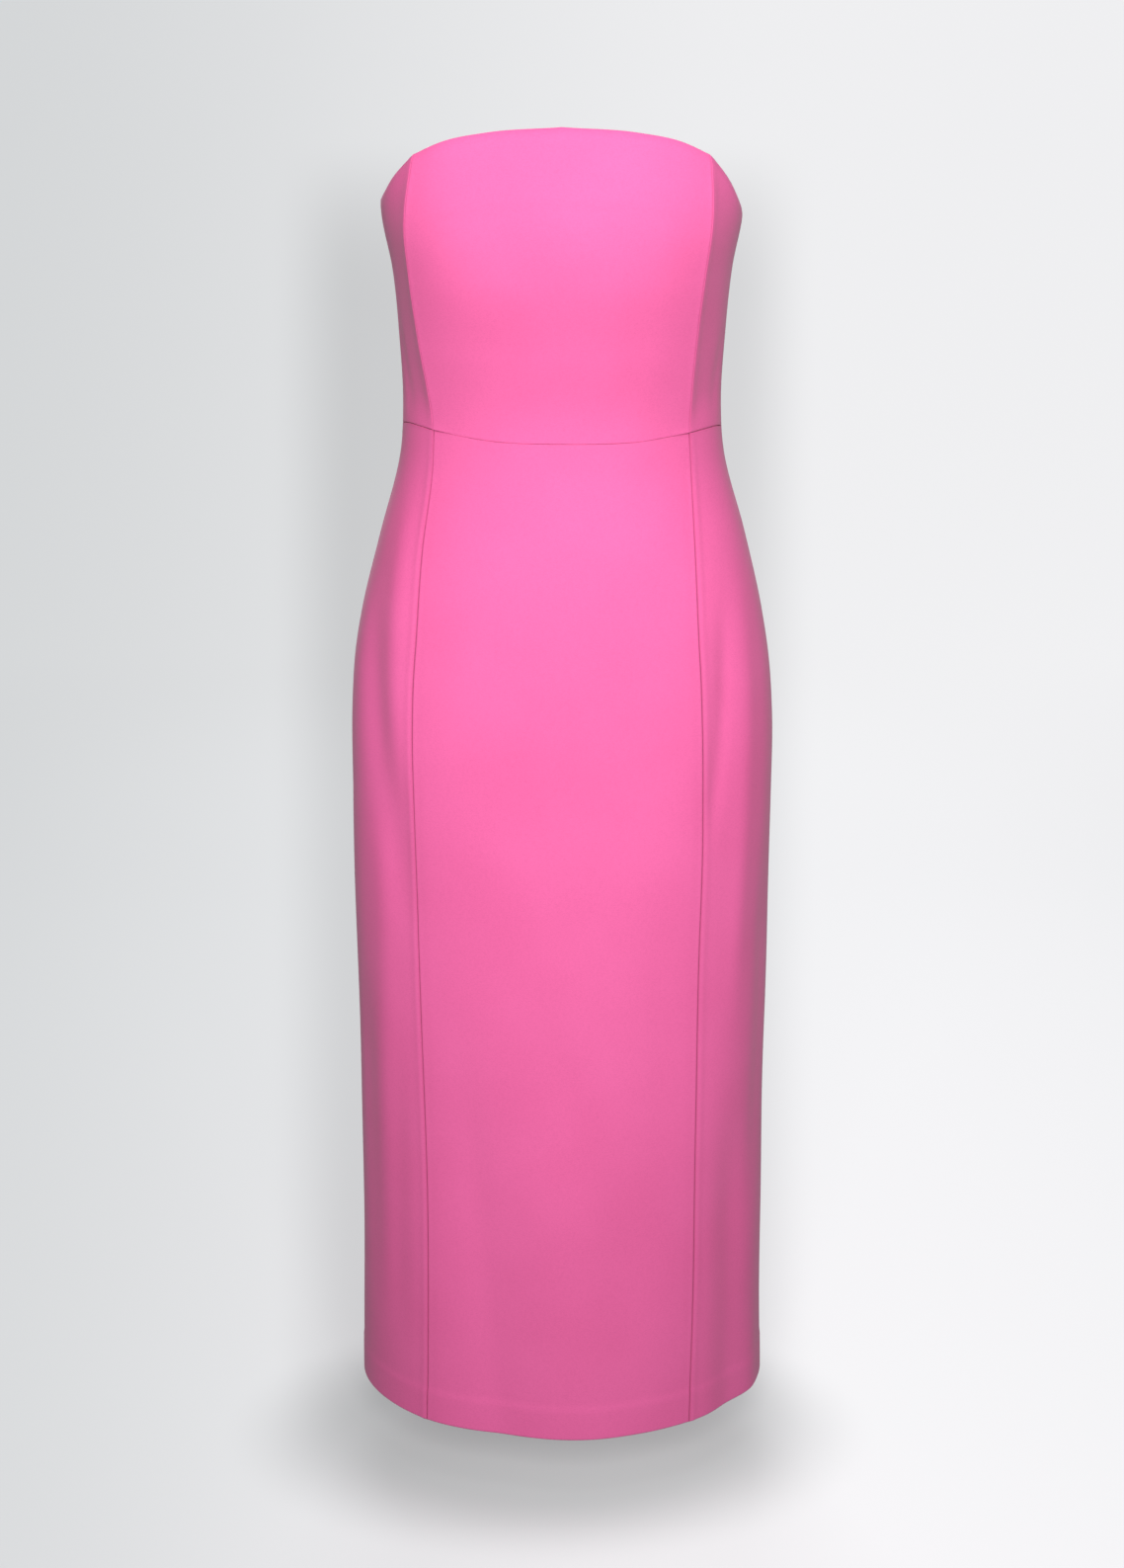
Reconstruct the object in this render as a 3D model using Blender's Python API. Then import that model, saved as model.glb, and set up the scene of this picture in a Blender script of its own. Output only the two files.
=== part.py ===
"""Strapless midi sheath dress in heavy crepe, at real size, in metres, with +Z up.

The dress keeps the hollow form that it has when it is worn. The front faces -Y and the
wearer's left is at +X. The origin is where the wearer holds the dress up: the middle of the
bust section at underarm level. Five bodice panels and five skirt panels meet at a centre
front panel, two princess seams, two side seams and a centre back seam with a concealed zip.
Heights below are measured from the waist seam, up being positive.
"""

import functools
import math

import bpy
import bmesh
import numpy as np
from mathutils import Matrix, Vector

COLLECTION = "strapless_dress"

# Lengths of the garment
UNDERARM_RISE = 0.165
CENTRE_FRONT_RISE = 0.237
SKIRT_LENGTH = 0.840
WAIST_Z = -UNDERARM_RISE

# Cloth
CLOTH = 0.0015
HEM_TURN = 0.030
HEM_TURN_CLOTH = 0.0027
HEM_TURN_EDGE = 0.002
HALF_GAP = 0.00015
REST_GAP = 0.0003

# Top edge: it rolls back over this height, and stands proud at the underarm corners
ROLL_HEIGHT = 0.009
ROLL_FRONT = 0.0035
ROLL_BACK = 0.0010
CORNER_PROUD = 0.0014
CORNER_SPREAD = 0.10
CORNER_HEIGHT = 0.016

# The right underarm sits a little higher than the left one
UNDERARM_LEAN = 0.005
LEAN_SPREAD = 1.0

# How quickly the ridge of a princess seam dies away to each side
RIDGE_WIDTH = 0.012

# Horizontal sections, each a pair of half superellipses with a ridge at the princess seam
SECTION_COLUMNS = (
    "height", "half_width", "front_depth", "back_depth",
    "front_fullness", "back_fullness", "seam_share", "seam_drift", "seam_ridge",
)
SECTIONS = (
    (0.250, 0.1365, 0.0960, 0.1035, 2.60, 2.35, 0.780, 0.0000, 0.0016),
    (0.210, 0.1380, 0.1080, 0.1025, 2.70, 2.35, 0.791, -0.0005, 0.0018),
    (0.165, 0.1385, 0.1165, 0.1010, 2.75, 2.35, 0.808, -0.0028, 0.0018),
    (0.125, 0.1313, 0.1150, 0.0975, 2.65, 2.30, 0.824, -0.0037, 0.0016),
    (0.070, 0.1267, 0.1030, 0.0905, 2.40, 2.20, 0.808, -0.0030, 0.0013),
    (0.020, 0.1251, 0.0940, 0.0860, 2.10, 2.15, 0.784, -0.0008, 0.0011),
    (-0.020, 0.1280, 0.0935, 0.0890, 2.05, 2.15, 0.776, 0.0000, 0.0010),
    (-0.088, 0.1457, 0.1040, 0.1060, 2.20, 2.20, 0.724, -0.0025, 0.0008),
    (-0.150, 0.1610, 0.1110, 0.1205, 2.30, 2.25, 0.680, -0.0035, 0.0006),
    (-0.187, 0.1673, 0.1135, 0.1245, 2.30, 2.25, 0.671, -0.0038, 0.0006),
    (-0.230, 0.1708, 0.1155, 0.1255, 2.30, 2.25, 0.667, -0.0036, 0.0006),
    (-0.300, 0.1719, 0.1170, 0.1215, 2.30, 2.25, 0.665, -0.0027, 0.0005),
    (-0.430, 0.1717, 0.1185, 0.1120, 2.25, 2.20, 0.656, -0.0025, 0.0005),
    (-0.560, 0.1714, 0.1205, 0.1075, 2.15, 2.15, 0.649, -0.0015, 0.0004),
    (-0.700, 0.1727, 0.1240, 0.1045, 2.05, 2.10, 0.644, -0.0010, 0.0004),
    (-0.850, 0.1750, 0.1275, 0.1030, 2.00, 2.10, 0.639, -0.0035, 0.0004),
)

# Top edge above the waist seam, by station: 0 centre front, 1 princess seam, 2 side, 3 back
NECKLINE_COLUMNS = ("station", "rise")
NECKLINE = (
    (0.0, CENTRE_FRONT_RISE),
    (0.5, 0.2328),
    (0.8, 0.2255),
    (1.0, 0.2155),
    (1.25, 0.2000),
    (1.5, 0.1830),
    (2.0, 0.1690),
    (2.5, 0.1590),
    (3.0, 0.1545),
)

# Waist seam above its own level, which dips at the sides and the centre front
WAIST_COLUMNS = ("station", "rise")
WAIST_LINE = (
    (0.0, 0.0016),
    (0.5, 0.0018),
    (1.0, 0.0052),
    (1.5, 0.0056),
    (2.0, 0.0006),
    (2.5, 0.0),
    (3.0, 0.0),
)
WAIST_LEAN = 0.0013

# Panels: name, first and last station, and columns of the grid. The signed stations run from
# centre back round the right side, the front and the left side
PANELS = (
    ("back_right", -3.0, -2.0, 16),
    ("side_front_right", -2.0, -1.0, 9),
    ("front", -1.0, 1.0, 14),
    ("side_front_left", 1.0, 2.0, 9),
    ("back_left", 2.0, 3.0, 16),
)
BODICE_ROWS = 13
ROLL_ROWS = 2
SKIRT_ROWS = 19
SKIRT_GRADING = 1.25

# Centre back: the slit above the hem, and the edges parted over the neck of the zip slider
SLIT_LENGTH = 0.220
SLIT_HALF_WIDTH = 0.0030
ZIP_PART = 0.0013
ZIP_PART_HEIGHT = 0.018
ZIP_PART_FADE = 0.014

# Concealed zip
ZIP_BELOW_WAIST = 0.190
TAPE_EDGE = 0.0016
TAPE_WIDTH = 0.0110
TAPE_THICK = 0.0010
TAPE_COLUMNS = 3
CHAIN_HALF_WIDTH = 0.0020
CHAIN_THICK = 0.0015
CHAIN_COLUMNS = 2

# Slider, in its own frame: across, up along the zip, and out of the cloth
SLIDER_BELOW_EDGE = 0.0120
PLATE_WIDTH = 0.0060
PLATE_LENGTH = 0.0090
PLATE_THICK = 0.0016
BACK_PLATE_WIDTH = 0.0064
BACK_PLATE_THICK = 0.0020
NECK_WIDTH = 0.0012
NECK_LENGTH = 0.0050
BRIDGE_WIDTH = 0.0016
BRIDGE_THICK = 0.0008
BRIDGE_HALF_LENGTH = 0.0034
OVERLAP = 0.0004

# Pull tab, hanging from the bridge by the bar above its hole
TAB_THICK = 0.0009
TAB_BAR = 0.0009
TAB_LENGTH = 0.0260
TAB_END_RADIUS = 0.00275
TAB_HOLE_END = 0.0042
TAB_HOLE_HALF_WIDTH = 0.00115
TAB_OUTLINE_COLUMNS = ("below_pivot", "half_width")
TAB_OUTLINE = (
    (-TAB_BAR / 2, 0.00190),
    (0.0010, 0.00220),
    (0.0050, 0.00220),
    (0.0100, 0.00180),
    (0.0165, 0.00220),
    (TAB_LENGTH - TAB_END_RADIUS, TAB_END_RADIUS),
)
TAB_END_STEPS = 10

PINK = (1.0, 0.20, 0.49)
LACQUER_PINK = (0.80, 0.18, 0.42)


def column(table, names, name):
    """One named column of a table, as an array."""
    return np.array([row[names.index(name)] for row in table], float)


def curve_through(table, names, key, name, at):
    """Value of one column at a key, on a smooth cubic through the rows."""
    keys = column(table, names, key)
    values = column(table, names, name)
    if keys[0] > keys[-1]:
        keys, values = keys[::-1], values[::-1]
    slopes = np.gradient(values, keys)
    at = min(max(at, keys[0]), keys[-1])
    i = min(int(np.searchsorted(keys, at, side="right")) - 1, len(keys) - 2)
    span = keys[i + 1] - keys[i]
    t = (at - keys[i]) / span
    return float(
        values[i] * (1 + 2 * t) * (1 - t) ** 2
        + slopes[i] * span * t * (1 - t) ** 2
        + values[i + 1] * t * t * (3 - 2 * t)
        + slopes[i + 1] * span * t * t * (t - 1)
    )


def section_size(name, height):
    """One size of the horizontal section at a height."""
    return curve_through(SECTIONS, SECTION_COLUMNS, "height", name, height)


@functools.lru_cache(maxsize=None)
def outline(height):
    """Half of the section at a height, from centre front round +X to centre back.

    It returns the points' x and y, the distance walked to each of them, and the distances
    of the left and right princess seams, the side seam and the centre back seam.
    """
    half_width = section_size("half_width", height)
    turn = np.linspace(0.0, math.pi / 2, 241)
    front_power = 2 / section_size("front_fullness", height)
    back_power = 2 / section_size("back_fullness", height)
    sine = np.clip(np.sin(turn), 0.0, 1.0)
    cosine = np.clip(np.cos(turn), 0.0, 1.0)
    front_x = half_width * sine**front_power
    front_y = -section_size("front_depth", height) * cosine**front_power
    back_x = half_width * cosine**back_power
    back_y = section_size("back_depth", height) * sine**back_power
    x = np.concatenate([front_x, back_x[1:]])
    y = np.concatenate([front_y, back_y[1:]])
    walked = np.concatenate([[0.0], np.cumsum(np.hypot(np.diff(x), np.diff(y)))])
    seam_x = section_size("seam_share", height) * half_width
    drift = section_size("seam_drift", height)
    seams = np.interp((seam_x + drift, seam_x - drift), front_x, walked[: len(front_x)])
    return x, y, walked, (*seams, walked[len(front_x) - 1], walked[-1])


def marks(height, side):
    """Distances of centre front, princess seam, side seam and centre back, on one side."""
    left_seam, right_seam, side_seam, back_seam = outline(height)[3]
    return 0.0, left_seam if side > 0 else right_seam, side_seam, back_seam


def walked_to(station, height, shift=0.0):
    """Distance round from centre front to a signed station, shifted along the cloth."""
    side = 1.0 if station >= 0 else -1.0
    along = float(np.interp(abs(station), (0, 1, 2, 3), marks(height, side)))
    return side * (along + side * shift)


def plain_point(distance, height):
    """Point of the plain form at a signed distance round from centre front."""
    x, y, walked, _ = outline(height)
    side = 1.0 if distance >= 0 else -1.0
    at = abs(distance)
    if at > walked[-1]:
        at, side = 2 * walked[-1] - at, -side
    return Vector((side * np.interp(at, walked, x), np.interp(at, walked, y), WAIST_Z + height))


def outward(distance, height):
    """Unit normal of the plain form."""
    small = 0.002
    across = plain_point(distance + small, height) - plain_point(distance - small, height)
    up = plain_point(distance, height + small) - plain_point(distance, height - small)
    return across.cross(up).normalized()


def hump(value, width):
    """1 at nought, falling smoothly to 0 at a width to each side."""
    part = min(abs(value) / width, 1.0)
    return (1 - part * part) ** 2


def top_edge(station):
    """Height of the top edge at a signed station."""
    rise = curve_through(NECKLINE, NECKLINE_COLUMNS, "station", "rise", abs(station))
    lean = -math.copysign(UNDERARM_LEAN, station) * hump(abs(station) - 2.0, LEAN_SPREAD)
    return rise + lean


def waist_line(station):
    """Height of the waist seam at a signed station."""
    rise = curve_through(WAIST_LINE, WAIST_COLUMNS, "station", "rise", abs(station))
    lean = -math.copysign(WAIST_LEAN, station) * hump(abs(station) - 1.5, 1.5)
    return rise + lean


def relief(station, height, distance):
    """How far the cloth stands off the plain form."""
    seam = marks(height, distance)[1]
    off_seam = abs(abs(distance) - seam) / RIDGE_WIDTH
    proud = section_size("seam_ridge", height) * math.exp(-off_seam)
    below = top_edge(station) - height
    if below < ROLL_HEIGHT:
        share = (1 + math.cos(math.pi * min(abs(station), 2.0) / 2)) / 2
        depth = ROLL_BACK + (ROLL_FRONT - ROLL_BACK) * share
        proud -= depth * (1 - below / ROLL_HEIGHT) ** 2
    if below < CORNER_HEIGHT:
        corner = hump(abs(station) - 2.0, CORNER_SPREAD * 2)
        proud += CORNER_PROUD * corner * (1 - below / CORNER_HEIGHT)
    return proud


def skin(station, height, shift=0.0, depth=0.0):
    """Point of the cloth's outer face, or one at a depth inside it."""
    distance = walked_to(station, height, shift)
    off = relief(station, height, distance) - depth
    return plain_point(distance, height) + outward(distance, height) * off


def bodice_heights(station):
    """Heights of the bodice's rows at a station, from the waist seam to the top edge."""
    top = top_edge(station)
    body = np.linspace(waist_line(station) + HALF_GAP, top - ROLL_HEIGHT, BODICE_ROWS)
    roll = np.linspace(top - ROLL_HEIGHT, top, ROLL_ROWS + 1)[1:]
    return np.concatenate([body, roll])


def skirt_heights(station):
    """Heights of the skirt's rows, from the hem to the waist seam."""
    highest = waist_line(station) - HALF_GAP
    grade = np.linspace(1.0, 0.0, SKIRT_ROWS) ** SKIRT_GRADING
    body = highest - (SKIRT_LENGTH - HEM_TURN + highest) * grade
    return np.concatenate([[-SKIRT_LENGTH, body[0] - HEM_TURN_EDGE], body])


def wall_thickness(height):
    """Thickness of the cloth, which is doubled where the hem is turned up."""
    return HEM_TURN_CLOTH if height < -(SKIRT_LENGTH - HEM_TURN) - HEM_TURN_EDGE / 2 else CLOTH


def centre_back_half_gap(height, top):
    """Half of the gap between the back panels at a height."""
    slit = max(0.0, (height + SKIRT_LENGTH - SLIT_LENGTH) / -SLIT_LENGTH)
    past = (top - height - ZIP_PART_HEIGHT) / ZIP_PART_FADE
    parted = (ZIP_PART - HALF_GAP) * min(max(1 - past, 0.0), 1.0)
    return HALF_GAP + SLIT_HALF_WIDTH * slit + parted


def border_shift(station, height):
    """How far a panel's border stands back from its seam line."""
    if abs(station) == 3.0:
        return centre_back_half_gap(height, top_edge(3.0))
    return HALF_GAP


def closed_wall(outer, inner):
    """Vertices and faces of a wall between two grids of points, closed along its rim."""
    rows, columns = len(outer), len(outer[0])
    count = rows * columns
    points = [p for row in outer for p in row] + [p for row in inner for p in row]
    faces = []
    for r in range(rows - 1):
        for c in range(columns - 1):
            a, b = r * columns + c, (r + 1) * columns + c
            faces.append((a, a + 1, b + 1, b))
            faces.append((count + a, count + b, count + b + 1, count + a + 1))
    bottom = list(range(columns))
    right = [r * columns + columns - 1 for r in range(rows)]
    top = [(rows - 1) * columns + c for c in reversed(range(columns))]
    left = [r * columns for r in reversed(range(rows))]
    rim = bottom[:-1] + right[:-1] + top[:-1] + left[:-1]
    for here, after in zip(rim, rim[1:] + rim[:1]):
        faces.append((after, here, count + here, count + after))
    return points, faces


def material(name, colour, roughness, metallic=0.0):
    """A Principled material of one colour."""
    made = bpy.data.materials.new(name)
    made.use_nodes = True
    shader = made.node_tree.nodes["Principled BSDF"]
    shader.inputs["Base Color"].default_value = (*colour, 1.0)
    shader.inputs["Roughness"].default_value = roughness
    shader.inputs["Metallic"].default_value = metallic
    return made


def add_object(name, data, finish, collection):
    """A new object in the dress's collection, with its material."""
    made = bpy.data.objects.new(name, data)
    data.materials.append(finish)
    collection.objects.link(made)
    return made


def add_wall(name, outer, inner, finish, collection):
    """A cloth wall between two grids of points, as one object."""
    points, faces = closed_wall(outer, inner)
    mesh = bpy.data.meshes.new(name)
    mesh.from_pydata([tuple(p) for p in points], [], faces)
    mesh.shade_smooth()
    mesh.set_sharp_from_angle(angle=math.radians(40))
    return add_object(name, mesh, finish, collection)


def panel_grids(first, last, columns, heights_at):
    """Outer and inner points of one panel, a row for each height."""
    stations = np.linspace(first, last, columns + 1)
    heights = np.array([heights_at(s) for s in stations]).T
    outer, inner = [], []
    for row in heights:
        shifts = [0.0] * len(stations)
        shifts[0] = border_shift(first, row[0])
        shifts[-1] = -border_shift(last, row[-1])
        where = list(zip(stations, row, shifts))
        outer.append([skin(s, h, move) for s, h, move in where])
        inner.append([skin(s, h, move, wall_thickness(h)) for s, h, move in where])
    return outer, inner


def add_panels(part, heights_at, collection):
    """The five panels of the bodice or the skirt."""
    for name, first, last, columns in PANELS:
        finish = material(f"crepe_{part}_{name}", PINK, 0.75)
        outer, inner = panel_grids(first, last, columns, heights_at)
        add_wall(f"{part}_{name}", outer, inner, finish, collection)


def zip_heights(highest):
    """Rows of the back panels that the zip runs behind, below a height, top first."""
    rows = np.concatenate([bodice_heights(3.0)[:-ROLL_ROWS], skirt_heights(3.0)])
    rows = rows[(rows < highest) & (rows > -ZIP_BELOW_WAIST)]
    return np.sort(rows)[::-1]


def zip_strip(from_back, to_back, columns, depth, thickness, heights):
    """Outer and inner points of a strip inside the back, between distances from the seam."""
    shifts = np.linspace(from_back, to_back, columns + 1)
    rows = heights[::-1]
    outer = [[skin(3.0, h, s, depth) for s in shifts] for h in rows]
    inner = [[skin(3.0, h, s, depth + thickness) for s in shifts] for h in rows]
    return outer, inner


def add_zip(collection):
    """The concealed zip's two tapes and its closed chain, inside the back panels."""
    depth = CLOTH + REST_GAP
    far = TAPE_EDGE + TAPE_WIDTH
    tape = material("zip_tape", PINK, 0.85)
    heights = zip_heights(top_edge(3.0))
    edges = (("zip_tape_left", -far, -TAPE_EDGE), ("zip_tape_right", TAPE_EDGE, far))
    for name, start, end in edges:
        outer, inner = zip_strip(start, end, TAPE_COLUMNS, depth, TAPE_THICK, heights)
        add_wall(name, outer, inner, tape, collection)
    chain_top = slider_height() - PLATE_LENGTH / 2 - REST_GAP
    heights = np.concatenate([[chain_top], zip_heights(chain_top - 0.002)])
    outer, inner = zip_strip(
        -CHAIN_HALF_WIDTH, CHAIN_HALF_WIDTH, CHAIN_COLUMNS,
        depth + TAPE_THICK + REST_GAP, CHAIN_THICK, heights,
    )
    add_wall("zip_chain", outer, inner, material("zip_coil", PINK, 0.45), collection)


def slider_height():
    """Height of the slider's middle, just under the top edge."""
    return top_edge(3.0) - SLIDER_BELOW_EDGE


def slider_frame():
    """Frame of the slider on the cloth's outer face: across, up the zip, and outwards."""
    height = slider_height()
    distance = walked_to(3.0, height)
    out = outward(distance, height)
    out = Vector((0.0, out.y, out.z)).normalized()
    across = Vector((-1.0, 0.0, 0.0))
    up = out.cross(across)
    frame = Matrix((across, up, out)).transposed().to_4x4()
    frame.translation = skin(3.0, height)
    frame.translation.x = 0.0
    return frame


def pivot_out():
    """Distance from the cloth out to the pull tab's pivot."""
    return REST_GAP + PLATE_THICK + REST_GAP + TAB_BAR / 2


def block(name, width, length, low, high, centre, frame, collection):
    """A block in the slider's frame, from a low to a high distance out of the cloth."""
    mesh = bpy.data.meshes.new(name)
    shape = bmesh.new()
    place = Matrix.Translation((0.0, centre, (low + high) / 2))
    size = Matrix.Diagonal((width, length, high - low, 1.0))
    bmesh.ops.create_cube(shape, size=1.0, matrix=place @ size)
    shape.to_mesh(mesh)
    shape.free()
    made = bpy.data.objects.new(name, mesh)
    made.matrix_world = frame
    collection.objects.link(made)
    return made


def add_slider(collection, cutters):
    """The slider: plates outside and inside the cloth, its neck, and the tab's bridge."""
    frame = slider_frame()
    plate_top = REST_GAP + PLATE_THICK
    under = -(CLOTH + REST_GAP + TAPE_THICK + REST_GAP)
    crown = pivot_out() + TAB_BAR / 2 + REST_GAP
    foot = BRIDGE_HALF_LENGTH - BRIDGE_THICK / 2
    slider = block(
        "zip_slider", PLATE_WIDTH, PLATE_LENGTH, REST_GAP, plate_top, 0.0, frame, collection
    )
    slider.data.materials.append(material("zip_lacquer", LACQUER_PINK, 0.35))
    pieces = (
        ("neck", NECK_WIDTH, NECK_LENGTH, under - OVERLAP, REST_GAP + OVERLAP, 0.0),
        ("back_plate", BACK_PLATE_WIDTH, PLATE_LENGTH, under - BACK_PLATE_THICK, under, 0.0),
        ("upper_foot", BRIDGE_WIDTH, BRIDGE_THICK, plate_top - OVERLAP, crown + OVERLAP, foot),
        ("lower_foot", BRIDGE_WIDTH, BRIDGE_THICK, plate_top - OVERLAP, crown + OVERLAP, -foot),
        ("crown", BRIDGE_WIDTH, 2 * BRIDGE_HALF_LENGTH, crown, crown + BRIDGE_THICK, 0.0),
    )
    for name, width, length, low, high, centre in pieces:
        piece = block(f"join_{name}", width, length, low, high, centre, frame, cutters)
        piece.hide_render = True
        piece.display_type = "WIRE"
        union = slider.modifiers.new(name, "BOOLEAN")
        union.operation = "UNION"
        union.solver = "EXACT"
        union.object = piece


def tab_outline():
    """Outline of the pull tab in its own plane, with the pivot at nought and -Y down."""
    below = column(TAB_OUTLINE, TAB_OUTLINE_COLUMNS, "below_pivot")
    half = column(TAB_OUTLINE, TAB_OUTLINE_COLUMNS, "half_width")
    down = [(half[i], -below[i]) for i in range(len(below))]
    turns = np.linspace(0.0, -math.pi, TAB_END_STEPS + 1)[1:-1]
    end = [
        (TAB_END_RADIUS * math.cos(a), TAB_END_RADIUS * math.sin(a) - below[-1]) for a in turns
    ]
    return down + end + [(-x, y) for x, y in reversed(down)]


def add_pull_tab(collection):
    """The pull tab, hanging plumb, with its origin on the pivot's axis."""
    curve = bpy.data.curves.new("zip_pull_tab", "CURVE")
    curve.dimensions = "2D"
    curve.fill_mode = "BOTH"
    curve.extrude = TAB_THICK / 2
    side, high, low = TAB_HOLE_HALF_WIDTH, -TAB_BAR / 2, -TAB_HOLE_END
    hole = [(-side, high), (side, high), (side, low), (-side, low)]
    for loop in (tab_outline(), hole):
        spline = curve.splines.new("POLY")
        spline.points.add(len(loop) - 1)
        spline.use_cyclic_u = True
        for point, (x, y) in zip(spline.points, loop):
            point.co = (x, y, 0.0, 1.0)
    finish = material("zip_tab_lacquer", LACQUER_PINK, 0.35)
    tab = add_object("zip_pull_tab", curve, finish, collection)
    tab.location = slider_frame() @ Vector((0.0, 0.0, pivot_out()))
    tab.rotation_euler = (math.pi / 2, 0.0, 0.0)


def main():
    """Clear the scene and build the dress."""
    for old in list(bpy.data.objects):
        bpy.data.objects.remove(old, do_unlink=True)
    dress = bpy.data.collections.new(COLLECTION)
    cutters = bpy.data.collections.new("slider_pieces")
    bpy.context.scene.collection.children.link(dress)
    bpy.context.scene.collection.children.link(cutters)
    add_panels("bodice", bodice_heights, dress)
    add_panels("skirt", skirt_heights, dress)
    add_zip(dress)
    add_slider(dress, cutters)
    add_pull_tab(dress)


main()
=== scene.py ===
"""Looks of a strapless midi sheath dress in heavy pink crepe.

Ten thin crepe shells stand for the ten cloth solids. Each lies on its solid's own form and
carries the soft creases, the pressed seams and the turned edges. The concealed zip
at the centre back has woven tapes, a coiled chain, a lacquered slider and its pull tab.
Lengths are in metres. The front faces -Y, +Z is up and the wearer's left is at +X. Heights
called "rise" are measured from the waist seam.
"""

import logging
import math
from dataclasses import dataclass
from enum import Enum
from typing import Iterable, Optional, Sequence, Union

import bmesh
import bpy
import numpy as np
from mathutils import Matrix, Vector


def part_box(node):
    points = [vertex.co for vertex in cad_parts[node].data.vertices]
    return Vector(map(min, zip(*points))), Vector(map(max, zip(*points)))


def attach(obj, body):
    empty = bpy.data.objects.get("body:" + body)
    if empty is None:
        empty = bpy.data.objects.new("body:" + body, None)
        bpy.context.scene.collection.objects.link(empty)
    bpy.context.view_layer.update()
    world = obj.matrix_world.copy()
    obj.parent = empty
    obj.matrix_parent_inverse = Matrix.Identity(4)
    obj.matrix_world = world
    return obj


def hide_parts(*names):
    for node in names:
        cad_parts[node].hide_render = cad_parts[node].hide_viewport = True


logging.basicConfig(level=logging.INFO, format="%(levelname)s %(message)s")
LOG = logging.getLogger("dress")

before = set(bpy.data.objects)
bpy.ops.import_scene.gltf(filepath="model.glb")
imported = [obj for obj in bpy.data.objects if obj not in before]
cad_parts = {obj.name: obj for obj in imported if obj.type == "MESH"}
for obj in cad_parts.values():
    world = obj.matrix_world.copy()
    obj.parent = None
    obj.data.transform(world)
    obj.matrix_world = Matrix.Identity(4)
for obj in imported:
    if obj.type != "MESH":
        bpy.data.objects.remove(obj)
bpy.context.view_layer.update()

Array = np.ndarray


class Body(str, Enum):
    """Bodies of the frame that pieces ride on."""

    DRESS = "dress"
    TAB = "pull_tab"


class Part(str, Enum):
    """The two halves of the dress, above and below the waist seam."""

    BODICE = "bodice"
    SKIRT = "skirt"


class Slot(str, Enum):
    """Material slots of the record."""

    CREPE = "crepe"
    TAPE = "zip_tape"
    COIL = "zip_coil"
    LACQUER = "zip_lacquer"


# Small numeric helpers


def smooth_step(value: Array) -> Array:
    """Ease from 0 to 1.

    Args:
        value: Where to look; below 0 gives 0 and above 1 gives 1.

    Returns:
        3v² - 2v³ of the clipped value.
    """
    part = np.clip(value, 0.0, 1.0)
    return part * part * (3.0 - 2.0 * part)


def hump(value: Array, width: float) -> Array:
    """A soft bump.

    Args:
        value: Distance from the bump's middle.
        width: Distance at which it has died away.

    Returns:
        (1 - (v/w)²)² inside the width and 0 outside it.
    """
    part = np.minimum(np.abs(value) / width, 1.0)
    return (1.0 - part * part) ** 2


def side_of(value: Array) -> Array:
    """1 on the wearer's left and -1 on the right."""
    return np.where(value >= 0, 1.0, -1.0)


def through(keys: Array, values: Array, at: Array) -> Array:
    """Smooth curve through a table's rows.

    Args:
        keys: Rising keys of the rows.
        values: Value of each row.
        at: Keys to look up, clipped to the table.

    Returns:
        Cubic Hermite values, with slopes by finite differences.
    """
    slopes = np.gradient(values, keys)
    at = np.clip(at, keys[0], keys[-1])
    i = np.minimum(np.searchsorted(keys, at, side="right") - 1, len(keys) - 2)
    span = keys[i + 1] - keys[i]
    t = (at - keys[i]) / span
    return (
        values[i] * (1 + 2 * t) * (1 - t) ** 2
        + slopes[i] * span * t * (1 - t) ** 2
        + values[i + 1] * t * t * (3 - 2 * t)
        + slopes[i + 1] * span * t * t * (t - 1)
    )


def rounded(border: Array, radius: float) -> Array:
    """How far a turned edge falls back from the face.

    Args:
        border: Distance in from the edge.
        radius: Radius of the turn.

    Returns:
        The depth of a quarter circle that starts level at the radius: r - √(r² - (r - b)²).
    """
    left = np.clip(radius - border, 0.0, radius)
    return radius - np.sqrt(np.maximum(radius * radius - left * left, 0.0))


def graded(length: float, coarse: float, marks: Sequence[float] = ()) -> Array:
    """Places for the lines of a grid, close together at both ends and at marks between.

    Args:
        length: Length to divide.
        coarse: Widest step.
        marks: Places between 0 and 1 that also get close lines.

    Returns:
        Rising fractions from 0 to 1.
    """
    steps = np.array((0.00014, 0.0002, 0.0003, 0.0004, 0.0006, 0.0008, 0.0011, 0.0015, 0.0019))
    near = np.concatenate([[0.0], np.cumsum(steps)])
    stops = np.array([0.0, *marks, 1.0]) * length
    runs = []
    for start, end in zip(stops[:-1], stops[1:]):
        count = max(int(round((end - start - 2 * near[-1]) / coarse)), 1)
        middle = np.linspace(start + near[-1], end - near[-1], count + 1)[1:-1]
        runs.append(np.concatenate([start + near, middle, (end - near)[::-1]]))
    return np.unique(np.round(np.concatenate(runs) / length, 9))


def leaning(table: Array, station: Array, lean: float, at: float, spread: float) -> Array:
    """Rise of an edge that sits lower on the wearer's left than on the right.

    Args:
        table: Station and rise of the edge, one row each.
        station: Signed stations.
        lean: Most that it is moved.
        at: Station of that.
        spread: How many stations away it has died away.

    Returns:
        The table's rise, less the lean on the left and with it on the right.
    """
    rise = through(table[:, 0], table[:, 1], np.abs(station))
    return rise - side_of(station) * (lean * hump(np.abs(station) - at, spread))


# The form of the dress


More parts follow.
